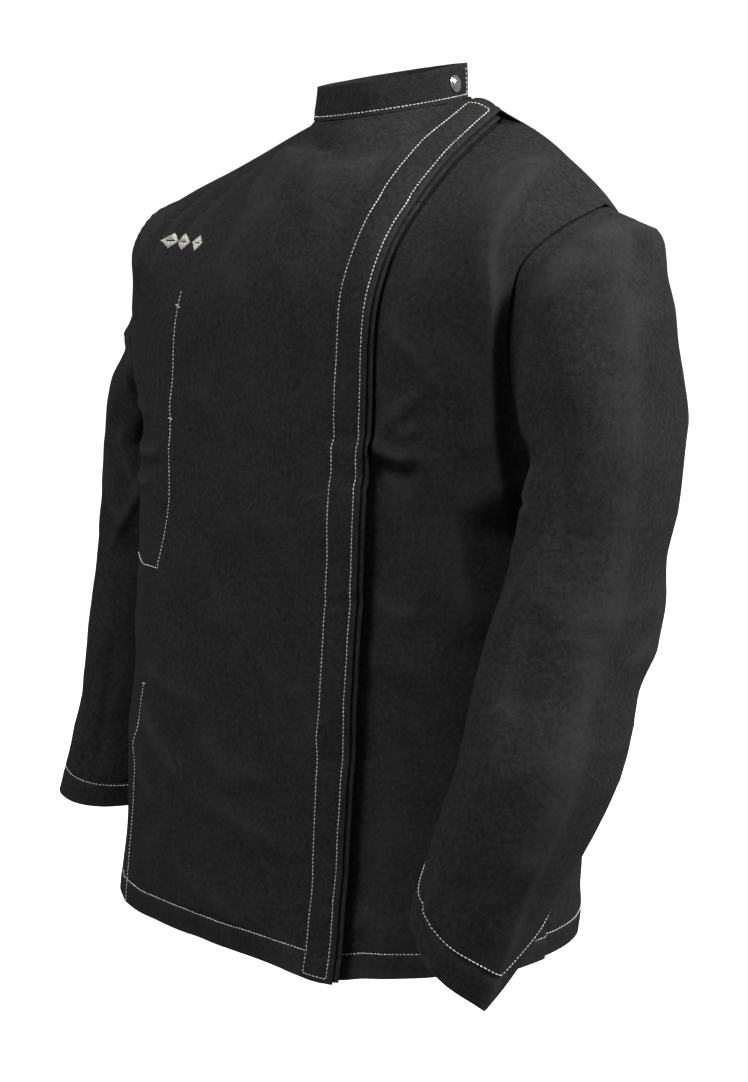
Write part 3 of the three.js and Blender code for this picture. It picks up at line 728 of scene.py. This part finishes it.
def noise(tree, vector, scale, detail=5.0, rough=0.6):
    inputs = {"Vector": vector, "Scale": scale, "Detail": detail, "Roughness": rough}
    return add(tree, "TexNoise", inputs)["Fac"]


def blend_colours(tree, factor, first, second):
    """A colour between two, by a factor; either may be a colour or a socket."""
    return add(tree, "Mix", {"Factor": factor, "A": first, "B": second}, data_type="RGBA")["Result"]


def remap(tree, value, low, high, out_low=0.0, out_high=1.0):
    inputs = {"Value": value, "From Min": low, "From Max": high, "To Min": out_low, "To Max": out_high}
    return add(tree, "MapRange", inputs)["Result"]


def maths(tree, operation, first, second):
    return add(tree, "Math", {0: first, 1: second}, operation=operation)[0]


def bumped(tree, height, strength, distance, **under):
    """A normal raised by a height, over another normal where one is given as Normal."""
    inputs = {"Height": height, "Strength": strength, "Distance": distance, **under}
    return add(tree, "Bump", inputs)["Normal"]


def scaled(colour, times):
    return tuple(times * c for c in colour)


def woven_cloth(name, dark, pale, yarn_scale=175.0756):
    """Matte twill: diagonal yarns, mottled dye, lint, paler worn edges, and a painted highlight on fold
    crests.
    """
    material, tree, shader = new_material(name, {
        "Roughness": 0.93, "Specular IOR Level": 0.08, "Sheen Weight": 0.006, "Sheen Roughness": 0.6})
    place = add(tree, "TexCoord", {})["Object"]
    weave = add(tree, "UVMap", {}, uv_map="Weave")["UV"]
    wave = {"Vector": weave, "Scale": yarn_scale, "Distortion": 1.2, "Detail Scale": 3.0}
    yarn = add(tree, "TexWave", wave, bands_direction="DIAGONAL")["Fac"]
    grain = noise(tree, weave, 1500.0, 3.0)
    mottle = noise(tree, place, 26.0, 8.0, 0.68)
    patch = noise(tree, place, 7.0, 3.0)
    tone = maths(tree, "ADD", remap(tree, mottle, 0.32, 0.68, 0.0, 0.7),
                 remap(tree, patch, 0.3, 0.7, 0.0, 0.3))
    colour = blend_colours(tree, tone, dark, pale)
    colour = blend_colours(tree, remap(tree, grain, 0.35, 0.7, 0.0, 0.55), colour, scaled(pale, 2.2))
    # Paler where the attribute is high: wear on folded edges and stitch lines, and a painted highlight on
    # fold crests.
    wear_and_painted_highlight = add(tree, "Attribute", {}, attribute_name="WearAndPaintedHighlight")["Fac"]
    rubbed = maths(tree, "MULTIPLY", wear_and_painted_highlight, remap(tree, mottle, 0.3, 0.7, 0.1, 0.5))
    colour = blend_colours(tree, rubbed, colour, scaled(pale, 3.0))
    fluff = noise(tree, place, 260.0, 5.0, 0.7)
    colour = blend_colours(tree, remap(tree, fluff, 0.38, 0.7, 0.0, 0.6), colour, scaled(pale, 3.0))
    specks = add(tree, "TexVoronoi", {"Vector": place, "Scale": 160.0})["Distance"]
    colour = blend_colours(tree, remap(tree, specks, 0.06, 0.03, 0.0, 0.28), colour, LINT)
    height = maths(tree, "ADD", yarn, maths(tree, "MULTIPLY", grain, 1.1))
    woven = bumped(tree, height, 0.25, 0.00022)
    normal = bumped(tree, noise(tree, place, 70.0, 8.0, 0.66), 0.6, 0.0014, Normal=woven)
    feed(tree, shader, {"Base Color": colour, "Normal": normal})
    return material


def thread_material(name, colour):
    """Twisted spun thread, a little dusty."""
    material, tree, shader = new_material(name, {"Roughness": 0.75, "Specular IOR Level": 0.3})
    place = add(tree, "TexCoord", {})["Object"]
    dust = remap(tree, noise(tree, place, 120.0, 4.0), 0.35, 0.65)
    twist = add(tree, "TexWave", {"Vector": place, "Scale": 700.0}, bands_direction="DIAGONAL")["Fac"]
    feed(tree, shader, {"Base Color": blend_colours(tree, dust, scaled(colour, 0.55), colour),
                        "Normal": bumped(tree, twist, 0.4, 0.0002)})
    return material


def metal_material(name, colour, roughness):
    """Plated metal with faint rub marks."""
    material, tree, shader = new_material(name, {"Metallic": 1.0})
    rub = noise(tree, add(tree, "TexCoord", {})["Object"], 420.0, 6.0, 0.7)
    feed(tree, shader, {"Roughness": remap(tree, rub, 0.3, 0.7, roughness, roughness + 0.16),
                        "Base Color": blend_colours(tree, rub, scaled(colour, 0.8), colour)})
    return material


SHELL = woven_cloth("shell_cloth", (0.0045, 0.0045, 0.0047), (0.0125, 0.0125, 0.0128))
LINING = woven_cloth("lining_cloth", (0.009, 0.009, 0.0095), (0.016, 0.016, 0.0165))
WEBBING = woven_cloth("webbing", (0.008, 0.008, 0.0085), (0.02, 0.02, 0.021), 413.8151)
TAPE = woven_cloth("label_tape", (0.42, 0.41, 0.38), (0.6, 0.58, 0.54), 413.8151)
THREAD = thread_material("thread", (0.78, 0.75, 0.69))
CHROME = metal_material("snap_chrome", (0.86, 0.86, 0.88), 0.08)
STEEL = metal_material("snap_steel", (0.55, 0.56, 0.57), 0.28)


# ---- Which body a piece follows ----
def on_torso(piece):
    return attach(piece, "torso")


def on_flap(piece):
    """Bakes the piece's place into its mesh; it follows no body."""
    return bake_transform(piece)


def on_lap(piece):
    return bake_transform(piece)


def finish_piece(piece, follow, slot, *nodes):
    """The body that a piece follows, and the CAD's nodes that it stands in for, which are hidden; slot is
    not used.
    """
    follow(piece)
    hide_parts(*nodes)


def shell_piece(name, grid, follow, *nodes, thickness=CLOTH_THICKNESS):
    finish_piece(cloth(name, grid, SHELL, thickness), follow, "shell_cloth", *nodes)


def inside_piece(name, grid, follow, *nodes, material=None, thickness=THIN_CLOTH):
    finish_piece(cloth(name, grid, material or LINING, thickness), follow, "lining_cloth", *nodes)


# ---- Body ----
def body_panels():
    """The back, the two fronts, each in two pieces, and their hem stitches."""
    back = body_grid(always(-1.0), always(1.0), back=True)
    shell_piece("back_cloth", back, on_torso, "back_panel")
    side = body_grid(always(-1.0), lambda row: fold_column(FOLD_X, row) + 0.06 * under_flap(row))
    x, z = side.points[..., 0], side.points[..., 2]
    row = -z / BODY_LENGTH
    past = (column_at(x, row) - fold_column(FOLD_X, row)) * HALF_TURN
    side.push(-1.4 * ramp(past, 0, 3))
    shell_piece("right_side_cloth", side, on_torso, "right_front_side")
    flap = body_grid(at_fold(FOLD_X), at_x(PLACKET_EDGE_X))
    shell_piece("front_flap_cloth", flap, on_flap, "right_front_flap")
    left = body_grid(at_fold(LEFT_FOLD_X), always(1.0), depth=left_front_depth)
    shell_piece("left_side_cloth", left, on_torso, "left_front_side")
    lap = body_grid(at_x(LEFT_EDGE_X), at_fold(LEFT_FOLD_X), depth=left_front_depth)
    shell_piece("left_lap_cloth", lap, on_lap, "left_front_lap")
    row = np.full(300, 1 - HEM_TURN / BODY_LENGTH)
    hems = [("back", back, on_torso, 1.0), ("right_side", side, on_torso, 1.0),
            ("flap", flap, on_flap, 0.86), ("left_side", left, on_torso, 1.0), ("lap", lap, on_lap, 1.0)]
    for name, grid, follow, last in hems:
        follow(stitched(f"{name}_hem_stitches", grid, np.linspace(0, last, 300), row))
    return side, flap


def under_flap(row):
    """The side cloth carries on a little way under the flap, high up, where the flap bends."""
    return 1 - ramp(row, 0.30, 0.42)


def placket(flap):
    """The stitched strip along the flap's free edge, its two layers and its stitches."""
    width = PLACKET_WIDTH + 1.5
    count = 30
    down = graded(BODY_LENGTH, [BODY_LENGTH - HEM_TURN], cell=3.0)
    row = np.broadcast_to(down[:, None], (len(down), count + 1))
    share = np.linspace(0, 1, count + 1)[None, :]
    x = PLACKET_EDGE_X - width * (1 - share) + 0 * row
    start = fold_column(FOLD_X, row)
    end = column_at(PLACKET_EDGE_X, row)
    across = (column_at(x, row) - start) / (end - start)
    points, _ = flap.sample(across, row)
    strip = Grid(points, share[0], down)
    from_left, from_right = width * share, width * (1 - share)
    pillow = STRIP_LIFT * (1 - np.exp(-from_left / 0.8)) + 0.7 * np.sin(np.pi * share) ** 2
    grooves = 0.75 * (bump(from_left, INNER_INSET, 1.5) + bump(from_right, STITCH_INSET, 1.5))
    pucker = 0.35 * soft_noise(from_left + 0 * row, row * BODY_LENGTH, 7, 21)
    rubbed = 0.7 * bump(from_right, 0, 1.5) + 0.5 * bump(from_left, 0.6, 1.2)
    strip.wear_and_painted_highlight = np.broadcast_to(rubbed, row.shape)
    rolled = 0.8 * ramp(1.5 - from_right, 0, 1.5)
    strip.push(pillow - grooves + pucker * bump(from_right, STITCH_INSET, 5) - rolled)
    shell_piece("placket_strip_cloth", strip, on_flap, "placket_strip", thickness=1.4)
    top, low = 0.006, 0.994
    inner, outer = INNER_INSET / width, 1 - STITCH_INSET / width
    long_run, short_run = np.linspace(top, low, 900), np.linspace(inner, outer, 40)
    runs = {"outer": (np.full(900, outer), long_run), "inner": (np.full(900, inner), long_run),
            "top": (short_run, np.full(40, top)), "hem": (short_run, np.full(40, low))}
    for name, run in runs.items():
        on_flap(stitched(f"placket_{name}_stitches", strip, *run))


def facings():
    """The turned-in layers inside the fronts, the hem and the neck."""
    hem, vent = (1 - HEM_TURN / BODY_LENGTH, 0.9985), (0.66, 0.96)
    inside, far, under = FACING_DEPTH, PLACKET_EDGE_X + 4, left_front_depth
    jobs = [
        ("back_hem_facing", always(-0.97), always(0.97), hem, True, inside, None, on_torso),
        ("back_neck_facing", always(-0.2), always(0.2), (0.015, 0.085), True, inside - 1, None, on_torso),
        ("right_side_hem_facing", always(-0.97), at_fold(FOLD_X), hem, False, inside, None, on_torso),
        ("right_vent_facing", always(-0.975), always(-0.86), vent, False, inside, None, on_torso),
        ("left_side_hem_facing", at_fold(LEFT_FOLD_X), always(0.97), hem, False, inside, under, on_torso),
        ("left_vent_facing", always(0.86), always(0.975), vent, False, inside, under, on_torso),
        ("fly_underlay", at_x(far - 48), at_x(far), (0.004, 0.998), False, inside, None, on_flap),
        ("flap_hem_facing", at_fold(FOLD_X), at_x(far - 50), hem, False, inside, None, on_flap),
        ("stud_facing", at_x(SNAP_X - 20), at_x(SNAP_X + 18), (0.17, 0.995), False, inside, under, on_lap),
        ("lap_hem_facing", at_x(LEFT_EDGE_X + 2), at_x(SNAP_X - 22), hem, False, inside, under, on_lap),
    ]
    for node, left, right, rows, back, lift, depth, follow in jobs:
        grid = body_grid(left, right, rows, back, lift=lift, depth=depth)
        material = SHELL if node == "fly_underlay" else LINING
        inside_piece(f"{node}_cloth", grid, follow, node, material=material)
    label = body_grid(always(-0.07), always(0.07), (0.035, 0.075), True, lift=inside - 3)
    finish_piece(cloth("neck_label_tape", label, TAPE, 0.5), on_torso, "thread", "neck_label")


def inner_pocket():
    """A patch inside the right front, open at the top, that stands off the cloth."""
    left, right, rows = -0.86, -0.46, (0.3, 0.58)
    grid = body_grid(always(left), always(right), rows, lift=FACING_DEPTH - 0.8)
    across, down = grid.across[None, :], grid.down[:, None]
    grid.push(-(POCKET_SLACK * np.sin(np.pi * across) * (1 - down ** 6)))
    inside_piece("inner_pocket_cloth", grid, on_torso, "inner_pocket")


def side_marks(side):
    """Stitching that shows on the right front: the inner pocket's seam, a side vent's seam, bar tacks."""
    tack = {"pitch": 1.1, "radius": 0.55, "fill": 0.95}
    lines = [
        ("pocket_seam_stitches", [(-111, -152), (-113, -180), (-113, -263), (-117, -335), (-127, -397),
                                  (-160, -400), (-190, -396)], {}),
        ("vent_seam_stitches", [(-150, -508), (-157, -542), (-166, -590), (-172, -640), (-174, -690),
                                (-172, -719)], {}),
        ("pocket_tack_top", [(-108, -166), (-116, -164)], tack),
        ("pocket_tack_low", [(-110, -263), (-117, -262)], tack),
        ("vent_tack", [(-146, -506), (-154, -508)], tack),
    ]
    for name, path, look in lines:
        points, normals = on_side(side, path)
        on_torso(stitches(name, points, normals, **look))


def on_side(side, path, lift=0.25):
    """Points and normals on the side cloth along (x, z) points, with its corners kept."""
    xs, zs = np.array(path, float).T
    legs = np.concatenate([[0], np.cumsum(np.hypot(np.diff(xs), np.diff(zs)))])
    at = np.linspace(0, legs[-1], max(12, int(legs[-1] / 2)))
    x, z = np.interp(at, legs, xs), np.interp(at, legs, zs)
    wide, high = side.points[None, ..., 0], side.points[None, ..., 2]
    gap = np.hypot(wide - x[:, None, None], high - z[:, None, None])
    j, i = np.unravel_index(gap.reshape(len(at), -1).argmin(1), side.wear_and_painted_highlight.shape)
    smooth = np.array([1, 2, 3, 2, 1]) / 9
    normal = side.normals()[j, i]
    base = side.points[j, i] + normal * lift
    rise = normal[:, 0] * (x - base[:, 0]) + normal[:, 2] * (z - base[:, 2])
    base[:, 1] -= rise / np.minimum(normal[:, 1], -0.2)
    base[:, 0], base[:, 2] = x, z
    base[:, 1] = np.convolve(np.pad(base[:, 1], 2, "edge"), smooth, "valid")
    return base, normal


def emblem(side):
    """Three small embroidered lozenges on the right chest, in satin stitch."""
    for k, centre in enumerate(EMBLEM_X):
        for step in np.linspace(-8, 8, 17):
            half = EMBLEM_HALF * (1 - abs(step) / 9)
            x, low, high = centre + step, EMBLEM_Z - half, EMBLEM_Z + half
            points, normals = on_side(side, [(x, high), (x + EMBLEM_SLANT, low)], EMBLEM_LIFT)
            look = {"pitch": 2.05 * half if half < 4 else 1.02 * half, "radius": 0.62, "fill": 0.98}
            on_torso(stitches(f"emblem_{k + 1}_thread_{int(step) + 9}", points, normals, **look))


# ---- Collar ----
def collar_base(turn):
    """The height of the neck seam that the collar stands on."""
    return mix(NECK_FRONT_Z, NECK_BACK_Z, (1 + np.sin(turn)) / 2) + NECK_LEFT_RISE * np.cos(turn)


def collar_grid(start, end, lift=0.0, depth=None):
    length = math.radians(end - start) * (NECK[0] + NECK[1]) / 2
    across, down = graded(length, [0, length], cell=3.0), graded(COLLAR_HEIGHT, cell=1.8)
    angle = mix(start, end, across)[None, :] + 0 * down[:, None]
    rise = 1 - down[:, None] + 0 * angle
    turn = np.radians(angle)
    draw = 1 - 0.03 * rise
    height = COLLAR_HEIGHT * mix(0.02, 1, rise)
    x, y = NECK[0] * draw * np.cos(turn), NECK[1] * draw * np.sin(turn)
    grid = Grid(np.stack([x, y, collar_base(turn) + height], -1), across, down)
    dents = 0.9 * soft_noise(angle * 1.2, height, 26, 31) + 0.4 * soft_noise(angle * 1.2, height, 9, 32)
    seam = -0.6 * bump(rise * COLLAR_HEIGHT, COLLAR_SEAM, 1.5)
    grid.wear_and_painted_highlight = 0.9 * bump(rise, 1, 0.06) + 0.4 * bump(rise * COLLAR_HEIGHT, COLLAR_SEAM, 2)
    pulled = -1.2 * bump(angle, COLLAR_SNAP_ANGLE, 9)
    inward = 0 if depth is None else depth(angle)
    return grid.push(dents + seam + pulled + inward).push(lift)


def under_collar(angle):
    """How far in the collar's left end lies, under its lapped end."""
    return LAP_DEPTH * (1 - ramp(angle, COLLAR_END + 4, COLLAR_END + 34)) * (angle < 180)


def collar():
    """The collar's two cloths, each with a lining; the back one follows the torso."""
    full = COLLAR_START, 360 + COLLAR_FOLD
    back = collar_grid(*full, depth=under_collar)
    front = collar_grid(COLLAR_FOLD, COLLAR_END)
    inner = {"back": collar_grid(*full, COLLAR_LINING_DEPTH, under_collar),
             "front": collar_grid(COLLAR_FOLD, COLLAR_END, COLLAR_LINING_DEPTH)}
    for name, grid, follow in (("back", back, on_torso), ("front", front, on_flap)):
        shell_piece(f"collar_{name}_cloth", grid, follow, f"collar_{name}_outer", thickness=1.3)
        inside_piece(f"collar_{name}_lining_cloth", inner[name], follow, f"collar_{name}_lining",
                     thickness=1.2)
    low = np.full(260, 1 - COLLAR_SEAM / COLLAR_HEIGHT)
    on_flap(stitched("collar_front_seam_stitches", front, np.linspace(0.0, 0.985, 260), low))
    on_flap(stitched("collar_end_stitches", front, np.full(30, 0.975), np.linspace(0.08, 0.87, 30)))
    on_torso(stitched("collar_back_seam_stitches", back, np.linspace(0.12, 1, 260), low))
    return front


# ---- Snaps ----
def turned_piece(name, outline, place, axis, material, slot, node, body):
    """A turned piece from (radius, height) points, its axis laid along a direction."""
    sides = 40
    turn = np.linspace(0, 2 * np.pi, sides, endpoint=False)
    vertices = [(r * math.cos(t), r * math.sin(t), h) for r, h in outline for t in turn]
    pose = Vector(axis).to_track_quat("Z", "Y").to_matrix().to_4x4()
    mesh = bpy.data.meshes.new(name)
    placed = [tuple(np.array(pose @ Vector(v)) * MM + place * MM) for v in vertices]
    mesh.from_pydata(placed, [], tube_faces(len(outline), sides))
    mesh.update()
    piece = link(name, mesh, material)
    edge = piece.modifiers.new("Rounded", "SUBSURF")
    edge.levels = edge.render_levels = 1
    finish_piece(piece, lambda turned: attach(turned, body), slot, node)


# Heights are along the outward normal from the cloth's outer face.
SOCKET = [(3.4, -6.7), (6.0, -6.7), (6.2, -6.5), (6.2, -5.5), (6.0, -5.3), (4.6, -5.3), (4.3, -5.7),
          (3.6, -5.7), (3.4, -5.9), (3.4, -6.7)]
STUD = [(0.01, -8.4), (5.4, -8.4), (5.6, -8.2), (5.6, -7.7), (5.3, -7.5), (3.0, -7.5), (2.1, -7.2),
        (2.3, -6.2), (2.0, -5.7), (1.4, -5.5), (0.01, -5.5)]
CAP = [(0.01, 0.3), (6.6, 0.3), (7.3, 0.6), (7.4, 1.1), (6.9, 1.6), (6.3, 1.7), (5.9, 1.6), (5.5, 1.9),
       (4.6, 2.6), (3.2, 3.2), (1.6, 3.5), (0.01, 3.6)]


def snaps(flap, collar_front):
    """A socket on the flap and a stud on the lap at each height, and the collar's own snap."""
    for k, depth in enumerate(SNAP_DEPTHS):
        row = depth / BODY_LENGTH
        start, end = fold_column(FOLD_X, row), column_at(PLACKET_EDGE_X, row)
        share = (column_at(SNAP_X, row) - start) / (end - start)
        place, axis = flap.sample(np.array([share]), np.array([row]))
        for name, outline, body in (("socket", SOCKET, "front_flap"), ("stud", STUD, "left_lap")):
            turned_piece(f"{name}_{k + 1}", outline, place[0], axis[0], STEEL, "snap_steel",
                         f"placket_{name}_{k + 1}", body)
    share = (COLLAR_SNAP_ANGLE - COLLAR_FOLD) / (COLLAR_END - COLLAR_FOLD)
    place, axis = collar_front.sample(np.array([share]), np.array([0.5]))
    parts = [("cap", CAP, CHROME, "snap_chrome", "front_flap"),
             ("socket", SOCKET, STEEL, "snap_steel", "front_flap"),
             ("stud", STUD, STEEL, "snap_steel", "torso")]
    for name, outline, material, slot, body in parts:
        turned_piece(f"collar_{name}", outline, place[0], axis[0], material, slot,
                     f"collar_snap_{name}", body)


# ---- Sleeves ----
SPLIT_DEPTH = 404.0               # the sleeve's two cloths meet on a slanted ring
SPLIT_SLANT = 31.0


def sleeve_grid(sleeve, side, folds, part, lift=0.0):
    """A sleeve's upper part, forearm or cuff facing, with its folds."""
    angle = np.linspace(-180, 180, 121)[None, :]
    top, last = sleeve["rings"][0, 0] + CAP_END, sleeve["length"]
    split = (SPLIT_DEPTH - SPLIT_SLANT * np.cos(np.radians(angle)) - top) / (last - top)
    if part == "upper":
        down = np.concatenate([np.array([0, 0.01, 0.02, 0.035, 0.05]), np.linspace(0.07, 1, 76)])
        along = mix(-1.0, split, down[:, None] + 0 * angle)
    elif part == "forearm":
        down = graded(last - SPLIT_DEPTH, [last - SPLIT_DEPTH - HEM_TURN])
        along = mix(split, 1.0, down[:, None] + 0 * angle)
    else:
        down = graded(26)
        along = mix(1 - HEM_TURN / (last - top), 0.996, down[:, None] + 0 * angle)
    angle = angle + 0 * along
    grid = Grid(sleeve_point(sleeve, side, angle, along), angle[0] / 360 + 0.5, down, flip=side > 0)
    z = grid.points[..., 2]
    seam = np.linalg.norm(grid.points - armhole_point(side, angle), axis=-1)
    relief = sleeve_relief(folds, angle, z) * ramp(seam, 4, 34)
    cuff = (1 - along) * (last - top)
    pit = -2.6 * np.exp(-seam / 5) - 5 * bump(angle, 80, 42) * bump(seam, 16, 14)
    # Paler colour on fold crests is a painted highlight; on the cuff's folded edge and stitches it is
    # wear.
    grid.wear_and_painted_highlight = painted_crest_highlight(relief) + 0.6 * bump(cuff, 0, 4) + 0.25 * bump(cuff, HEM_TURN, 3)
    return grid.push(relief + pit + turned_edge(cuff)).push(lift)


def sleeve(name, shape, side, folds):
    """One sleeve: an upper piece and a forearm; its cuff facing and stitches follow the forearm."""
    upper_body, forearm_body = f"{name}_upper_sleeve", f"{name}_forearm"

    def on_upper(piece):
        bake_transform(piece)

    def on_elbow(piece):
        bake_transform(piece)

    def on_forearm(piece):
        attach(piece, forearm_body)

    def nodes(part):
        return f"{name}_sleeve_{part}_top", f"{name}_sleeve_{part}_under"

    upper, forearm = (sleeve_grid(shape, side, folds, part) for part in ("upper", "forearm"))
    cuff = sleeve_grid(shape, side, folds, "cuff", FACING_DEPTH + 1)
    shell_piece(f"{name}_upper_sleeve_cloth", upper, on_upper, *nodes("upper"))
    shell_piece(f"{name}_forearm_cloth", forearm, on_elbow, *nodes("forearm"))
    inside_piece(f"{name}_cuff_facing_cloth", cuff, on_forearm, *nodes("cuff_facing"))
    row = np.full(400, 1 - HEM_TURN / (shape["length"] - SPLIT_DEPTH))
    on_forearm(stitched(f"{name}_cuff_stitches", forearm, np.linspace(0, 1, 400), row))


# ---- Hang loop ----
def hang_loop():
    """A loop of tape inside the back of the neck."""
    half = [(0, 51, -17), (12, 52, -15), (24, 54, -6), (26, 56, 4)]
    path = np.array([(-x, y, z) for x, y, z in half[:0:-1]] + half, float)
    at = np.linspace(0, len(path) - 1, 60)
    spine = np.stack([np.interp(at, np.arange(len(path)), path[:, k]) for k in range(3)], -1)
    for _ in range(6):
        spine[1:-1] = (spine[:-2] + 2 * spine[1:-1] + spine[2:]) / 4
    width = np.linspace(-3.5, 3.5, 9)
    across = np.cross(np.gradient(spine, axis=0), np.array([0, 1, 0.25]))
    across /= np.linalg.norm(across, axis=1, keepdims=True)
    points = spine[:, None, :] + across[:, None, :] * width[None, :, None]
    grid = Grid(points, np.linspace(0, 1, 9), np.linspace(0, 1, 60))
    grid.push(0.35 * np.cos(width / 3.5 * 1.4)[None, :] + 0 * grid.wear_and_painted_highlight)
    finish_piece(cloth("hang_loop_tape", grid, WEBBING, 1.4), on_torso, "webbing", "hang_loop")


# ---- Camera, floor and light ----
def make_camera():
    data = bpy.data.cameras.new("camera")
    camera = bpy.data.objects.new("camera", data)
    bpy.context.scene.collection.objects.link(camera)
    azimuth = math.radians(CAMERA_AZIMUTH)
    camera.location = (CAMERA_DISTANCE * math.sin(azimuth), -CAMERA_DISTANCE * math.cos(azimuth), 0)
    heading = math.radians(CAMERA_AZIMUTH + CAMERA_TURN)
    camera.rotation_euler = (math.radians(90 - CAMERA_PITCH), 0, heading)
    data.lens = CAMERA_LENS
    data.sensor_width = 36
    bpy.context.scene.camera = camera


def area_light(name, place, aim, power):
    data = bpy.data.lights.new(name, "AREA")
    data.shape = "DISK"
    data.size = LAMP_SIZE
    data.energy = power
    lamp = bpy.data.objects.new(name, data)
    bpy.context.scene.collection.objects.link(lamp)
    lamp.location = place
    lamp.rotation_euler = (Vector(aim) - Vector(place)).to_track_quat("-Z", "Y").to_euler()


def bright_surface(name, strength):
    """A white surface that glows a little."""
    return new_material(name, {"Base Color": (0.93, 0.93, 0.93), "Roughness": 0.9,
                               "Emission Color": (1.0, 1.0, 1.0), "Emission Strength": strength})[0]


def show_only(surface):
    """Stage that the camera sees and that doesn't light or shade the jacket."""
    surface.visible_diffuse = False
    surface.visible_glossy = False
    surface.visible_shadow = False


def make_stage():
    floor = bpy.data.meshes.new("floor")
    corners = ((-1, -1), (1, -1), (1, 1), (-1, 1))
    floor.from_pydata([(FLOOR_HALF * x, FLOOR_HALF * y, FLOOR_Z) for x, y in corners], [], [(0, 1, 2, 3)])
    show_only(link("floor", floor, bright_surface("floor", 1.0), False))
    bpy.ops.mesh.primitive_uv_sphere_add(segments=48, ring_count=24, radius=BACKDROP_RADIUS)
    backdrop = bpy.context.object
    backdrop.name = "backdrop"
    backdrop.data.materials.append(bright_surface("backdrop", 1.0))
    show_only(backdrop)
    world = bpy.data.worlds.new("studio")
    world.use_nodes = True
    tree = world.node_tree
    feed(tree, tree.nodes["Background"], {"Color": (1.0, 1.0, 1.0), "Strength": AMBIENT})
    bpy.context.scene.world = world
    area_light("key", KEY_PLACE, (0.1, 0, -0.3), KEY_POWER)
    area_light("front", FRONT_PLACE, (0, 0, -0.4), FRONT_POWER)
    bpy.context.scene.view_settings.view_transform = "Standard"


make_camera()
make_stage()
side_cloth, flap_cloth = body_panels()
placket(flap_cloth)
facings()
inner_pocket()
side_marks(side_cloth)
emblem(side_cloth)
snaps(flap_cloth, collar())
sleeve("left", LEFT_SLEEVE, 1, LEFT_SLEEVE_FOLDS)
sleeve("right", RIGHT_SLEEVE, -1, RIGHT_SLEEVE_FOLDS)
hang_loop()
